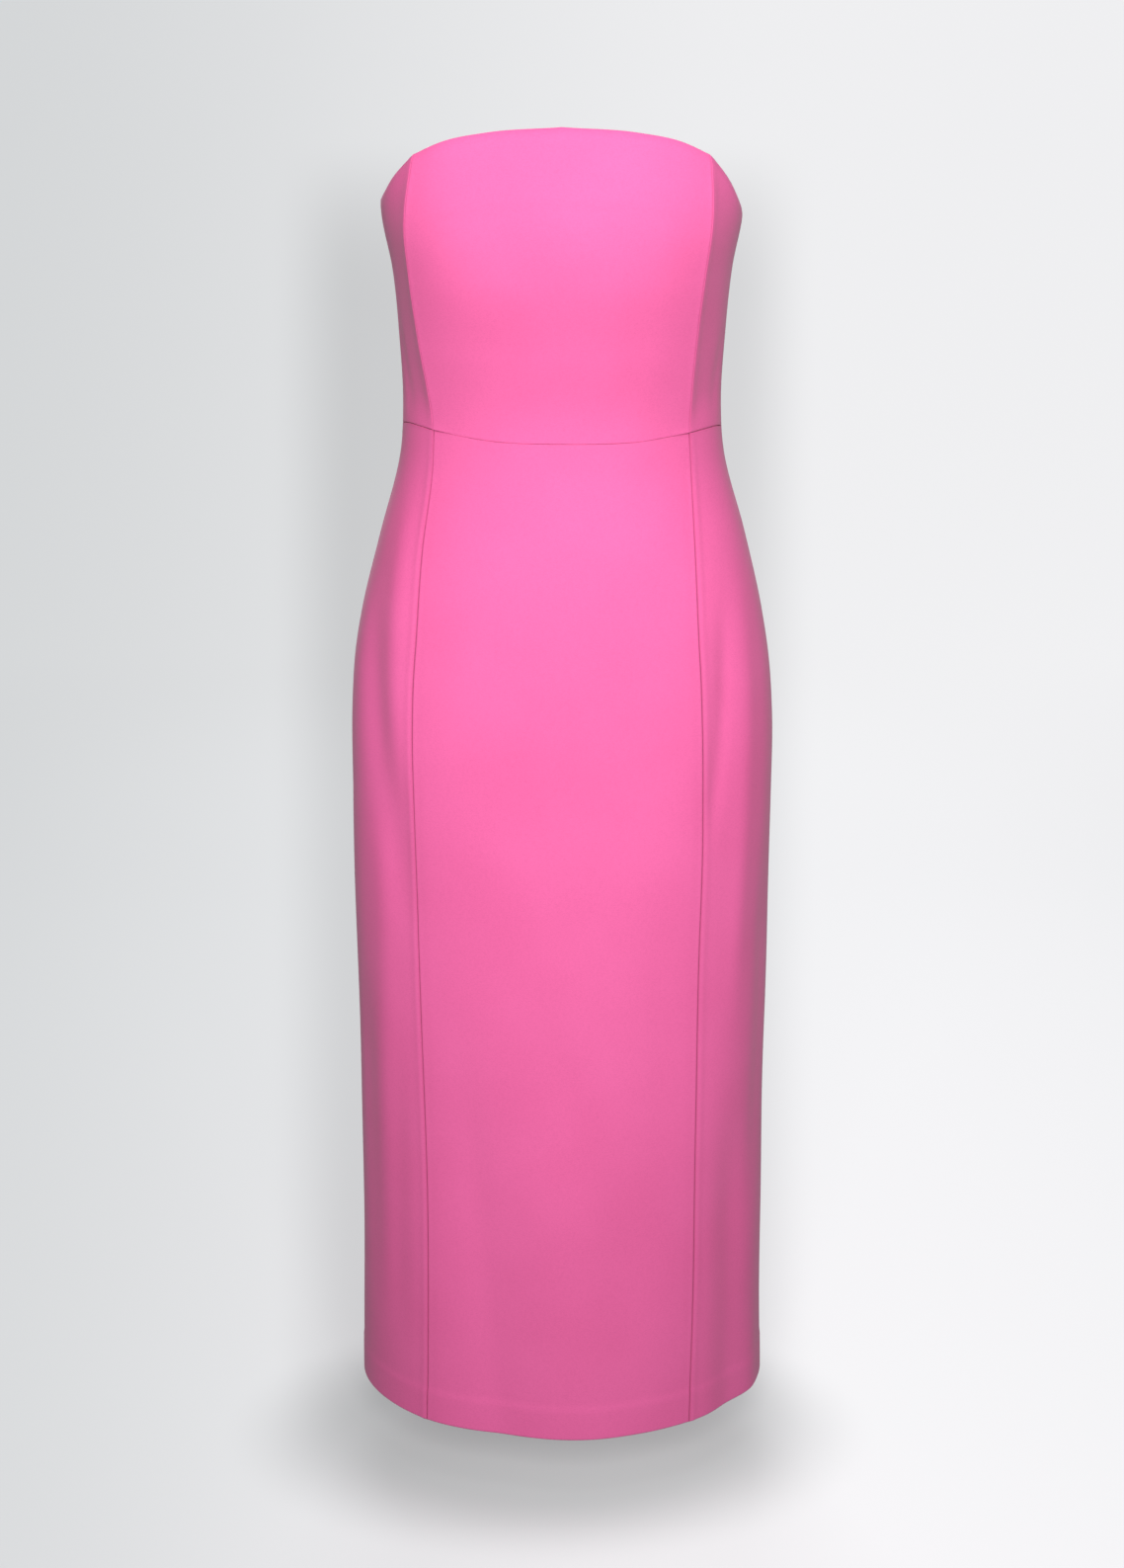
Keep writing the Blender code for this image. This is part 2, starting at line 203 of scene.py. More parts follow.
@dataclass(frozen=True)
class Garment:
    """Lengths of the garment and its cloth.

    Attributes:
        waist_z: Height of the waist seam in the row frame.
        skirt: Length of the skirt below it.
        cloth: Thickness of the wall.
        hem_turn: Height of the turned-up hem.
        hem_cloth: Thickness of the wall where the hem is turned up.
        half_gap: Half of the gap between two panels.
        roll_height: Height over which the top edge rolls back.
        roll_front: Depth of that roll at the centre front.
        roll_back: Depth of it at the sides and the back.
        corner_proud: How far the underarm corners stand out.
        corner_spread: Half length of a corner, in stations.
        corner_height: Height of a corner.
        underarm_lean: How much higher the right underarm sits.
        waist_lean: How much higher the right of the waist seam sits.
        ridge_width: How soon a princess seam's ridge dies away.
        slit: Length of the slit above the hem.
        slit_half: Half of its width at the hem.
        zip_part: Half of the gap at the top of the zip.
        zip_part_height: Height over which it is fully parted.
        zip_part_fade: Height over which it closes.
    """

    waist_z: float = -0.165
    skirt: float = 0.840
    cloth: float = 0.0015
    hem_turn: float = 0.030
    hem_cloth: float = 0.0027
    half_gap: float = 0.00015
    roll_height: float = 0.009
    roll_front: float = 0.0035
    roll_back: float = 0.0010
    corner_proud: float = 0.0014
    corner_spread: float = 0.20
    corner_height: float = 0.016
    underarm_lean: float = 0.005
    waist_lean: float = 0.0013
    ridge_width: float = 0.012
    slit: float = 0.220
    slit_half: float = 0.0030
    zip_part: float = 0.0013
    zip_part_height: float = 0.018
    zip_part_fade: float = 0.014


GARMENT = Garment()

# Sections from the hem up: rise, half width, depth in front, depth behind, fullness in front,
# fullness behind, share of the half width at the princess seam, its drift to the wearer's
# left, and the ridge that the seam makes
SECTIONS = np.array(
    (
        (-0.850, 0.1750, 0.1275, 0.1030, 2.00, 2.10, 0.639, -0.0035, 0.0004),
        (-0.700, 0.1727, 0.1240, 0.1045, 2.05, 2.10, 0.644, -0.0010, 0.0004),
        (-0.560, 0.1714, 0.1205, 0.1075, 2.15, 2.15, 0.649, -0.0015, 0.0004),
        (-0.430, 0.1717, 0.1185, 0.1120, 2.25, 2.20, 0.656, -0.0025, 0.0005),
        (-0.300, 0.1719, 0.1170, 0.1215, 2.30, 2.25, 0.665, -0.0027, 0.0005),
        (-0.230, 0.1708, 0.1155, 0.1255, 2.30, 2.25, 0.667, -0.0036, 0.0006),
        (-0.187, 0.1673, 0.1135, 0.1245, 2.30, 2.25, 0.671, -0.0038, 0.0006),
        (-0.150, 0.1610, 0.1110, 0.1205, 2.30, 2.25, 0.680, -0.0035, 0.0006),
        (-0.088, 0.1457, 0.1040, 0.1060, 2.20, 2.20, 0.724, -0.0025, 0.0008),
        (-0.020, 0.1280, 0.0935, 0.0890, 2.05, 2.15, 0.776, 0.0000, 0.0010),
        (0.020, 0.1251, 0.0940, 0.0860, 2.10, 2.15, 0.784, -0.0008, 0.0011),
        (0.070, 0.1267, 0.1030, 0.0905, 2.40, 2.20, 0.808, -0.0030, 0.0013),
        (0.125, 0.1313, 0.1150, 0.0975, 2.65, 2.30, 0.824, -0.0037, 0.0016),
        (0.165, 0.1385, 0.1165, 0.1010, 2.75, 2.35, 0.808, -0.0028, 0.0018),
        (0.210, 0.1380, 0.1080, 0.1025, 2.70, 2.35, 0.791, -0.0005, 0.0018),
        (0.250, 0.1365, 0.0960, 0.1035, 2.60, 2.35, 0.780, 0.0000, 0.0016),
    )
)
COLUMNS = {
    "half_width": 1,
    "front_depth": 2,
    "back_depth": 3,
    "front_fullness": 4,
    "back_fullness": 5,
    "seam_share": 6,
    "seam_drift": 7,
    "seam_ridge": 8,
}

# Rise of the top edge and of the waist seam by station: 0 centre front, 1 princess seam,
# 2 side seam, 3 centre back
NECKLINE = np.array(
    (
        (0.0, 0.237),
        (0.5, 0.2328),
        (0.8, 0.2255),
        (1.0, 0.2155),
        (1.25, 0.2000),
        (1.5, 0.1830),
        (2.0, 0.1690),
        (2.5, 0.1590),
        (3.0, 0.1545),
    )
)
WAIST_LINE = np.array(
    (
        (0.0, 0.0016),
        (0.5, 0.0018),
        (1.0, 0.0052),
        (1.5, 0.0056),
        (2.0, 0.0006),
        (2.5, 0.0),
        (3.0, 0.0),
    )
)


class DressForm:
    """The plain form of the worn dress, as a table of its horizontal sections."""

    ROWS = 1101
    TURNS = 961
    SHARES = 1601

    def __init__(self, garment: Garment = GARMENT) -> None:
        """Work out the table.

        Each section is two half superellipses that meet at the sides: in front x = a·sin^(2/n)
        and y = -d·cos^(2/n) of a turn from 0 to a right angle, and behind the same with the
        back's depth. The table keeps x and y at even shares of the walk from centre front to
        centre back.

        Args:
            garment: Lengths of the garment.
        """
        self.garment = garment
        self.rises = np.linspace(SECTIONS[0, 0], SECTIONS[-1, 0], self.ROWS)
        turn = np.linspace(0.0, math.pi / 2, self.TURNS)
        sine, cosine = np.sin(turn).clip(0), np.cos(turn).clip(0)
        size = {name: self.size(name, self.rises)[:, None] for name in COLUMNS}
        front_power, back_power = 2 / size["front_fullness"], 2 / size["back_fullness"]
        front_x = size["half_width"] * sine**front_power
        front_y = -size["front_depth"] * cosine**front_power
        back_x = size["half_width"] * cosine**back_power
        back_y = size["back_depth"] * sine**back_power
        x = np.concatenate([front_x, back_x[:, 1:]], axis=1)
        y = np.concatenate([front_y, back_y[:, 1:]], axis=1)
        steps = np.hypot(np.diff(x, axis=1), np.diff(y, axis=1))
        walked = np.concatenate([np.zeros((self.ROWS, 1)), np.cumsum(steps, axis=1)], axis=1)
        shares = np.linspace(0.0, 1.0, self.SHARES)
        self.x, self.y = np.empty((2, self.ROWS, self.SHARES))
        self.marks_left, self.marks_right = np.zeros((2, self.ROWS, 4))
        seam = (size["seam_share"] * size["half_width"])[:, 0]
        drift = size["seam_drift"][:, 0]
        for row in range(self.ROWS):
            at = shares * walked[row, -1]
            self.x[row] = np.interp(at, walked[row], x[row])
            self.y[row] = np.interp(at, walked[row], y[row])
            near = (front_x[row], walked[row, : self.TURNS])
            self.marks_left[row, 1] = np.interp(seam[row] + drift[row], *near)
            self.marks_right[row, 1] = np.interp(seam[row] - drift[row], *near)
        for marks in (self.marks_left, self.marks_right):
            marks[:, 2] = walked[:, self.TURNS - 1]
            marks[:, 3] = walked[:, -1]

    @staticmethod
    def size(name: str, rise: Array) -> Array:
        """One size of the section.

        Args:
            name: Name of the size, as in COLUMNS.
            rise: Heights above the waist seam.

        Returns:
            The size at each height.
        """
        return through(SECTIONS[:, 0], SECTIONS[:, COLUMNS[name]], rise)

    def mark(self, station: int, rise: Array, left: Array) -> Array:
        """Distance walked from centre front to a whole station.

        Args:
            station: 0 to 3.
            rise: Heights above the waist seam.
            left: True where the wearer's left is meant.

        Returns:
            Distances, all positive.
        """
        on_left = np.interp(rise, self.rises, self.marks_left[:, station])
        on_right = np.interp(rise, self.rises, self.marks_right[:, station])
        return np.where(left, on_left, on_right)

    def walked(self, station: Array, rise: Array) -> Array:
        """Signed distance round from centre front to a station.

        Args:
            station: Signed stations, positive on the wearer's left.
            rise: Heights above the waist seam.

        Returns:
            Distance to the whole station below, plus its share of the way to the next one.
        """
        left = station >= 0
        size = np.abs(station)
        whole = np.clip(np.floor(size), 0, 2)
        marks = np.stack([self.mark(k, rise, left) for k in range(4)])
        low = np.take_along_axis(marks, whole[None].astype(int), 0)[0]
        high = np.take_along_axis(marks, whole[None].astype(int) + 1, 0)[0]
        return side_of(station) * (low + (high - low) * (size - whole))

    def plain(self, distance: Array, rise: Array) -> Array:
        """Points of the plain form.

        Args:
            distance: Signed distances round from centre front.
            rise: Heights above the waist seam.

        Returns:
            Points, with x, y and z on the last axis.
        """
        side = side_of(distance)
        end = np.interp(rise, self.rises, self.marks_left[:, 3])
        at = np.abs(distance)
        side = np.where(at > end, -side, side)
        at = np.where(at > end, 2 * end - at, at)
        row = (rise - self.rises[0]) / (self.rises[1] - self.rises[0])
        row = np.clip(row, 0, self.ROWS - 1.001)
        share = np.clip(at / end, 0.0, 1.0) * (self.SHARES - 1.001)
        i, j = row.astype(int), share.astype(int)
        fi, fj = row - i, share - j

        def look(table: Array) -> Array:
            """Value between the four nearest places of a table.

            Args:
                table: The table, one row a height.

            Returns:
                Its values, blended across and then up.
            """
            low = table[i, j] * (1 - fj) + table[i, j + 1] * fj
            high = table[i + 1, j] * (1 - fj) + table[i + 1, j + 1] * fj
            return low * (1 - fi) + high * fi

        return np.stack([side * look(self.x), look(self.y), self.garment.waist_z + rise], axis=-1)

    def outward(self, distance: Array, rise: Array) -> Array:
        """Unit normals of the plain form.

        Args:
            distance: Signed distances round from centre front.
            rise: Heights above the waist seam.

        Returns:
            The cross product of a 4 mm step across and a 4 mm step up, made 1 long.
        """
        small = 0.002
        across = self.plain(distance + small, rise) - self.plain(distance - small, rise)
        up = self.plain(distance, rise + small) - self.plain(distance, rise - small)
        normal = np.cross(across, up)
        return normal / np.linalg.norm(normal, axis=-1, keepdims=True)

    def top_edge(self, station: Array) -> Array:
        """Rise of the top edge.

        Args:
            station: Signed stations.

        Returns:
            The neckline's rise, lower on the left underarm and higher on the right one.
        """
        return leaning(NECKLINE, station, self.garment.underarm_lean, 2.0, 1.0)

    def waist_line(self, station: Array) -> Array:
        """Rise of the waist seam.

        Args:
            station: Signed stations.

        Returns:
            Its rise, which leans a little to one side.
        """
        return leaning(WAIST_LINE, station, self.garment.waist_lean, 1.5, 1.5)

    def relief(self, station: Array, rise: Array, distance: Array) -> Array:
        """How far the cloth stands off the plain form, before its creases.

        Args:
            station: Signed stations.
            rise: Heights above the waist seam.
            distance: Signed distances round from centre front.

        Returns:
            A ridge that falls off as e^(-d/w) from the princess seam, less the roll of the
            top edge, and the underarm corners standing proud.
        """
        g = self.garment
        seam = self.mark(1, rise, distance >= 0)
        off = np.abs(np.abs(distance) - seam) / g.ridge_width
        proud = self.size("seam_ridge", rise) * np.exp(-off)
        below = self.top_edge(station) - rise
        share = (1 + np.cos(math.pi * np.minimum(np.abs(station), 2.0) / 2)) / 2
        depth = g.roll_back + (g.roll_front - g.roll_back) * share
        proud = proud - depth * np.clip(1 - below / g.roll_height, 0, 1) ** 2
        corner = hump(np.abs(station) - 2.0, g.corner_spread)
        return proud + g.corner_proud * corner * np.clip(1 - below / g.corner_height, 0, 1)

    def skin(self, station: Array, rise: Array, shift: Array, depth: Array) -> Array:
        """Points at a depth inside the cloth's outer face.

        Args:
            station: Signed stations.
            rise: Heights above the waist seam.
            shift: Distance moved along the cloth.
            depth: Depth inside the outer face.

        Returns:
            Points, with x, y and z on the last axis.
        """
        distance = self.walked(station, rise) + shift
        off = self.relief(station, rise, distance) - depth
        return self.plain(distance, rise) + self.outward(distance, rise) * off[..., None]


# Creases


@dataclass(frozen=True)
class Crease:
    """One soft trough or ridge, placed along a line on the cloth.

    Attributes:
        start: Station and rise of the upper end.
        end: Station and rise of the lower end.
        height: How far it stands out; negative for a trough.
        width: Distance over which it dies away sideways.
        bow: How far its middle swings sideways, in stations.
    """

    start: tuple[float, float]
    end: tuple[float, float]
    height: float
    width: float
    bow: float = 0.0

    def lift(self, station: Array, rise: Array, per_station: Array) -> Array:
        """Relief that the crease gives.

        Args:
            station: Signed stations.
            rise: Heights above the waist seam.
            per_station: Length of cloth to a station, here.

        Returns:
            h·e^(-(d/w)²), eased in and out over a third of the length at each end.
        """
        along = (rise - self.start[1]) / (self.end[1] - self.start[1])
        held = np.clip(along, 0.0, 1.0)
        line = self.start[0] + (self.end[0] - self.start[0]) * held
        line = line + self.bow * 4 * held * (1 - held)
        off = (station - line) * per_station / self.width
        ease = smooth_step(along / 0.33) * smooth_step((1 - along) / 0.33)
        return self.height * np.exp(-off * off) * ease


CREASES: tuple[Crease, ...] = (
    Crease((-0.74, -0.420), (-0.33, -0.960), -0.0010, 0.014, -0.03),
    Crease((-0.60, -0.500), (-0.30, -1.000), -0.0030, 0.042, -0.03),
    Crease((-0.20, -0.480), (0.30, -1.000), 0.0024, 0.045, 0.0),
    Crease((-0.26, -0.400), (0.66, -0.790), -0.0006, 0.020, 0.04),
    Crease((0.34, -0.560), (0.52, -0.900), -0.0007, 0.018, 0.03),
    Crease((0.62, -0.300), (0.80, -0.640), -0.0006, 0.014, 0.02),
    Crease((-1.30, -0.020), (-1.12, -0.300), 0.0024, 0.014, 0.02),
    Crease((-1.62, -0.080), (-1.08, -0.420), -0.0030, 0.018, 0.05),
    Crease((-1.26, -0.200), (-1.42, -0.640), 0.0016, 0.015, 0.03),
    Crease((-1.20, -0.480), (-1.26, -0.800), -0.0012, 0.012, -0.03),
    Crease((-1.66, -0.400), (-1.58, -0.780), -0.0016, 0.016, 0.04),
    Crease((1.48, -0.070), (1.32, -0.520), 0.0018, 0.012, -0.05),
    Crease((1.24, -0.110), (1.04, -0.330), -0.0020, 0.009, 0.02),
    Crease((1.66, -0.300), (1.60, -0.700), -0.0018, 0.015, 0.04),
    Crease((1.33, -0.520), (1.38, -0.960), -0.0040, 0.020, 0.0),
    Crease((1.64, -0.740), (1.64, -0.940), 0.0010, 0.012, 0.0),
    Crease((-0.30, 0.150), (-0.12, 0.020), 0.0005, 0.020, 0.03),
    Crease((0.55, 0.120), (0.42, 0.010), -0.0006, 0.014, 0.02),
    Crease((-1.70, 0.100), (-1.45, 0.004), -0.0008, 0.008, 0.02),
    Crease((1.66, 0.090), (1.50, 0.003), -0.0008, 0.008, -0.03),
    Crease((2.30, -0.050), (2.16, -0.330), -0.0016, 0.014, 0.04),
    Crease((2.72, -0.140), (2.62, -0.460), 0.0014, 0.019, 0.05),
    Crease((2.44, -0.360), (2.58, -0.760), -0.0018, 0.020, -0.04),
    Crease((2.22, -0.480), (2.26, -0.860), 0.0015, 0.018, 0.03),
    Crease((2.80, -0.420), (2.88, -0.690), -0.0012, 0.012, 0.0),
    Crease((-2.26, -0.060), (-2.20, -0.290), 0.0014, 0.013, 0.03),
    Crease((-2.64, -0.120), (-2.50, -0.430), -0.0017, 0.017, -0.05),
    Crease((-2.34, -0.330), (-2.48, -0.700), 0.0014, 0.020, 0.06),
    Crease((-2.16, -0.520), (-2.24, -0.870), -0.0017, 0.017, -0.02),
    Crease((-2.78, -0.460), (-2.70, -0.860), 0.0013, 0.018, 0.03),
    Crease((2.30, 0.120), (2.44, 0.012), -0.0010, 0.012, 0.03),
    Crease((-2.40, 0.110), (-2.22, 0.006), 0.0009, 0.014, -0.03),
    Crease((-2.74, 0.090), (-2.66, 0.000), -0.0008, 0.010, 0.02),
)


# Slow unevenness of the cloth: height, radians to a metre round and up, and phase
WAVES = (
    (0.00022, 41.0, 9.0, 0.7),
    (0.00026, -23.0, 31.0, 2.1),
    (0.00016, 67.0, -14.0, 4.4),
)


class CreaseField:
    """All the soft relief that lies over the plain form."""

    def __init__(self, form: DressForm, creases: Iterable[Crease] = CREASES) -> None:
        """Keep the form and the creases.

        Args:
            form: The plain form.
            creases: The troughs and ridges.
        """
        self.form = form
        self.creases = tuple(creases)

    def lift(self, station: Array, rise: Array, distance: Array) -> Array:
        """Relief of the whole cloth.

        Args:
            station: Signed stations.
            rise: Heights above the waist seam.
            distance: Signed distances round from centre front.

        Returns:
            The creases' sum and a slow unevenness made of three crossed waves, both held
            down near the top edge.
        """
        left = distance >= 0
        whole = np.clip(np.floor(np.abs(station)), 0, 2).astype(int)
        marks = np.stack([self.form.mark(k, rise, left) for k in range(4)])
        low = np.take_along_axis(marks, whole[None], 0)[0]
        per_station = np.take_along_axis(marks, whole[None] + 1, 0)[0] - low
        lift = np.zeros_like(rise)
        for crease in self.creases:
            lift = lift + crease.lift(station, rise, per_station)
        for height, around, up, phase in WAVES:
            lift = lift + height * np.sin(around * distance + up * rise + phase)
        below = self.form.top_edge(station) - rise
        return lift * smooth_step(below / 0.06)


# Meshes


def object_from_grid(
    name: str, points: Array, faces: Array, uv: Optional[Array] = None
) -> bpy.types.Object:
    """A mesh object from arrays.

    Args:
        name: Name of the object.
        points: Points, one a row.
        faces: Corners of the quads, one quad a row.
        uv: Cloth coordinates of each point, if it has them.

    Returns:
        The object, in the scene and shaded smooth.
    """
    mesh = bpy.data.meshes.new(name)
    mesh.vertices.add(len(points))
    mesh.vertices.foreach_set("co", points.astype(np.float32).ravel())
    mesh.loops.add(faces.size)
    mesh.loops.foreach_set("vertex_index", faces.astype(np.int32).ravel())
    mesh.polygons.add(len(faces))
    mesh.polygons.foreach_set("loop_start", np.arange(0, faces.size, 4, dtype=np.int32))
    mesh.update(calc_edges=True)
    if uv is not None:
        layer = mesh.uv_layers.new(name="cloth")
        layer.uv.foreach_set("vector", uv[faces.ravel()].astype(np.float32).ravel())
    mesh.polygons.foreach_set("use_smooth", np.ones(len(faces), bool))
    mesh.validate()
    made = bpy.data.objects.new(name, mesh)
    bpy.context.scene.collection.objects.link(made)
    return made


def wall_faces(rows: int, columns: int) -> Array:
    """Quads of a wall between an outer and an inner grid, closed along its rim.

    Args:
        rows: Rows of each grid.
        columns: Columns of each grid.

    Returns:
        Corners of the quads; the inner grid's points follow the outer ones.
    """
    count = rows * columns
    index = np.arange(count).reshape(rows, columns)
    a, b = index[:-1, :-1].ravel(), index[:-1, 1:].ravel()
    c, d = index[1:, 1:].ravel(), index[1:, :-1].ravel()
    outer = np.stack([a, b, c, d], axis=1)
    inner = np.stack([a, d, c, b], axis=1) + count
    rim = np.concatenate([index[0, :-1], index[:-1, -1], index[-1, :0:-1], index[:0:-1, 0]])
    after = np.roll(rim, -1)
    edge = np.stack([after, rim, rim + count, after + count], axis=1)
    return np.concatenate([outer, inner, edge])


def wall_from_grids(name: str, outer: Array, inner: Array, uv: Array) -> bpy.types.Object:
    """A closed wall between two grids of points.

    Args:
        name: Name of the object.
        outer: Points of the outer face, in rows and columns.
        inner: Points of the inner face, likewise.
        uv: Cloth coordinates of each point of a face.

    Returns:
        The object.
    """
    rows, columns = outer.shape[:2]
    points = np.concatenate([outer.reshape(-1, 3), inner.reshape(-1, 3)])
    flat = uv.reshape(-1, 2)
    return object_from_grid(name, points, wall_faces(rows, columns), np.concatenate([flat, flat]))


def settle(
    made: bpy.types.Object, material: bpy.types.Material, body: Body, node: str
) -> None:
    """Give a piece its material, put it on its body and hide the solid that it stands for.

    Args:
        made: The piece.
        material: Its material.
        body: Body that it rides on.
        node: Name of the solid that it replaces.
    """
    made.data.materials.append(material)
    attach(made, body.value)
    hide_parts(node)


def grid_area(points: Array) -> float:
    """Area of a grid of points.

    Args:
        points: Rows and columns of points.

    Returns:
        Half of the summed cross products of each quad's diagonals.
    """
    first = points[1:, 1:] - points[:-1, :-1]
    second = points[1:, :-1] - points[:-1, 1:]
    return float(np.linalg.norm(np.cross(first, second), axis=-1).sum() / 2)


# Shader graph


Term = Union["Wire", float, tuple]


@dataclass(frozen=True)
class Wire:
    """One output socket of a material, with arithmetic on it.

    Attributes:
        tree: The node tree.
        socket: The socket.
    """

    tree: bpy.types.NodeTree
    socket: bpy.types.NodeSocket

    def node(
        self, kind: str, inputs: dict, output: Union[int, str] = 0, **settings: object
    ) -> "Wire":
        """Add any other node.

        Args:
            kind: Type of the node.
            inputs: What goes into its sockets: wires, numbers or tuples.
            output: Which socket comes out.
            **settings: Properties of the node.

        Returns:
            The wire that comes out.
        """
        made = self.tree.nodes.new(kind)
        for key, value in settings.items():
            setattr(made, key, value)
        for key, value in inputs.items():
            self.feed(made.inputs[key], value)
        return Wire(self.tree, made.outputs[output])

    def feed(self, socket: bpy.types.NodeSocket, value: Term) -> None:
        """Join a value to an input.

        Args:
            socket: The input.
            value: A wire, or a number or tuple that is set on it.
        """
        if isinstance(value, Wire):
            self.tree.links.new(value.socket, socket)
        else:
            socket.default_value = value

    def _maths(self, operation: str, first: Term, second: Term) -> "Wire":
        """Two terms through a maths node, by vectors where either of them is one.

        Args:
            operation: Operation of the node.
            first: Its first term.
            second: Its second term.

        Returns:
            The wire that comes out.
        """
        terms = (first, second)
        kind = "ShaderNodeMath"
        if any(map(self.is_vector, terms)):
            kind = "ShaderNodeVectorMath"
            terms = tuple((t, t, t) if isinstance(t, (int, float)) else t for t in terms)
        return self.node(kind, dict(enumerate(terms)), operation=operation)

    @staticmethod
    def is_vector(term: Term) -> bool:
        """Whether a term is a tuple, or a wire from a vector socket."""
        return isinstance(term, tuple) or (isinstance(term, Wire) and term.socket.type == "VECTOR")

    def __add__(self, other: Term) -> "Wire":
        """This plus another."""
        return self._maths("ADD", self, other)

    def __radd__(self, other: Term) -> "Wire":
        """Another plus this."""
        return self._maths("ADD", other, self)

    def __sub__(self, other: Term) -> "Wire":
        """This less another."""
        return self._maths("SUBTRACT", self, other)

    def __rsub__(self, other: Term) -> "Wire":
        """Another less this."""
        return self._maths("SUBTRACT", other, self)

    def __mul__(self, other: Term) -> "Wire":
        """This times another."""
        return self._maths("MULTIPLY", self, other)

    def __rmul__(self, other: Term) -> "Wire":
        """Another times this."""
        return self._maths("MULTIPLY", other, self)

    def __truediv__(self, other: Term) -> "Wire":
        """This divided by another."""
        return self._maths("DIVIDE", self, other)

    def __rtruediv__(self, other: Term) -> "Wire":
        """Another divided by this."""
        return self._maths("DIVIDE", other, self)

    def part(self, name: str) -> "Wire":
        """One of X, Y and Z of a vector."""
        return self.node("ShaderNodeSeparateXYZ", {0: self}, name)

    def apply(self, operation: str, *others: Term) -> "Wire":
        """One of the Math node's other operations, on this and any further terms."""
        return self.node("ShaderNodeMath", dict(enumerate((self, *others))), operation=operation)

    def wave(self, to_a_metre: float) -> "Wire":
        """A wave from 0 to 1 and back, so many to a metre."""
        return (self * (to_a_metre * math.tau)).apply("SINE") * 0.5 + 0.5

    def noise(self, scale: float, detail: float = 2.0) -> "Wire":
        """Noise from 0 to 1 at this place."""
        inputs = {"Vector": self, "Scale": scale, "Detail": detail}
        return self.node("ShaderNodeTexNoise", inputs, "Fac")

    def ramp(self, low: float, high: float) -> "Wire":
        """A smooth step from 0 at low to 1 at high."""
        inputs = {"Value": self, "From Min": low, "From Max": high}
        return self.node("ShaderNodeMapRange", inputs, interpolation_type="SMOOTHSTEP")

    def scaled(self, factor: Term) -> "Wire":
        """This colour made darker or paler by a factor."""
        inputs = {0: self, 3: factor}
        return self.node("ShaderNodeVectorMath", inputs, operation="SCALE")

    def blend(self, low: Term, high: Term) -> "Wire":
        """Colour between two, by this factor."""
        return self.node("ShaderNodeMix", {0: self, 6: low, 7: high}, 2, data_type="RGBA")


class Surface:
    """A material under construction, round its Principled shader."""

    def __init__(self, name: str, constants: dict[str, object]) -> None:
        """Start the material.

        Args:
            name: Name of the material.
            constants: Values set on the shader's sockets.
        """
        self.material = bpy.data.materials.new(name)
        self.material.use_nodes = True
        self.tree = self.material.node_tree
        self.shader = self.tree.nodes["Principled BSDF"]
        for key, value in constants.items():
            self.shader.inputs[key].default_value = value

    def place(self) -> Wire:
        """Object coordinates."""
        made = self.tree.nodes.new("ShaderNodeTexCoord")
        return Wire(self.tree, made.outputs["Object"])

    def cloth(self) -> Wire:
        """The piece's own cloth coordinates."""
        made = self.tree.nodes.new("ShaderNodeUVMap")
        made.uv_map = "cloth"
        return Wire(self.tree, made.outputs["UV"])

    def set(self, socket: str, value: Wire) -> None:
        """Join a wire to a socket of the shader.

        Args:
            socket: Name of the socket.
            value: The wire.
        """
        value.feed(self.shader.inputs[socket], value)

    def bump(self, height: Wire, depth: float, strength: float = 1.0) -> None:
        """Join a height to the shader's normal.

        Args:
            height: Height from 0 to 1.
            depth: What 1 stands for, in metres.
            strength: Strength of the bump.
        """
        inputs = {"Height": height, "Distance": depth, "Strength": strength}
        self.set("Normal", height.node("ShaderNodeBump", inputs))


@dataclass(frozen=True)
class CrepeFinish:
    """Heavy matt crepe: a fine pebbled grain, a soft sheen at grazing angles.

    Attributes:
        colour: Main colour.
        shade: Painted shade colour of the grain's hollows, also reached by the slow random tone.
        deep: Painted shade colour in the depth of a seam.
        seam: Share of that painted shade at the seam itself.
        roughness: Roughness of the face.
        sheen: Weight of the sheen.
        grain: Grains to a metre.
        depth: Depth of the grain.
    """

    colour: tuple = (0.905, 0.148, 0.412, 1.0)
    shade: tuple = (0.790, 0.112, 0.332, 1.0)
    deep: tuple = (0.330, 0.030, 0.110, 1.0)
    seam: float = 0.85
    roughness: float = 0.78
    sheen: float = 0.13
    grain: float = 1500.0
    depth: float = 0.00012

    def build(self, name: str) -> bpy.types.Material:
        """Make the material.

        Args:
            name: Name of the material.

        Returns:
            The material.
        """
        surface = Surface(
            name,
            {
                "Sheen Weight": self.sheen,
                "Sheen Roughness": 0.45,
                "Sheen Tint": (1.0, 0.86, 0.92, 1.0),
                "Specular IOR Level": 0.28,
            },
        )
        place = surface.place()
        pebble = place.noise(self.grain, 3.0)
        twist = (place * (0.7, 0.7, 1.5)).noise(self.grain * 0.42, 2.0)
        grain = pebble * 0.6 + twist * 0.4
        slow = place.noise(9.0, 2.0)
        # Painted shade: the hollows of the grain lean to the darker colour; the slow noise adds
        # random tone.
        grain_shade_and_tone = grain.ramp(0.30, 0.62) * 0.55 + slow.ramp(0.2, 0.8) * 0.45
        # Painted shade along the seams and darts, from each shell's seam_shade attribute.
        seam = place.node("ShaderNodeAttribute", {}, "Fac", attribute_name="seam_shade")
        face = grain_shade_and_tone.blend(self.shade, self.colour)
        surface.set("Base Color", (seam * self.seam).blend(face, self.deep))
        surface.set("Roughness", self.roughness + (grain - 0.5) * 0.18)
        surface.bump(grain, self.depth)
        return surface.material


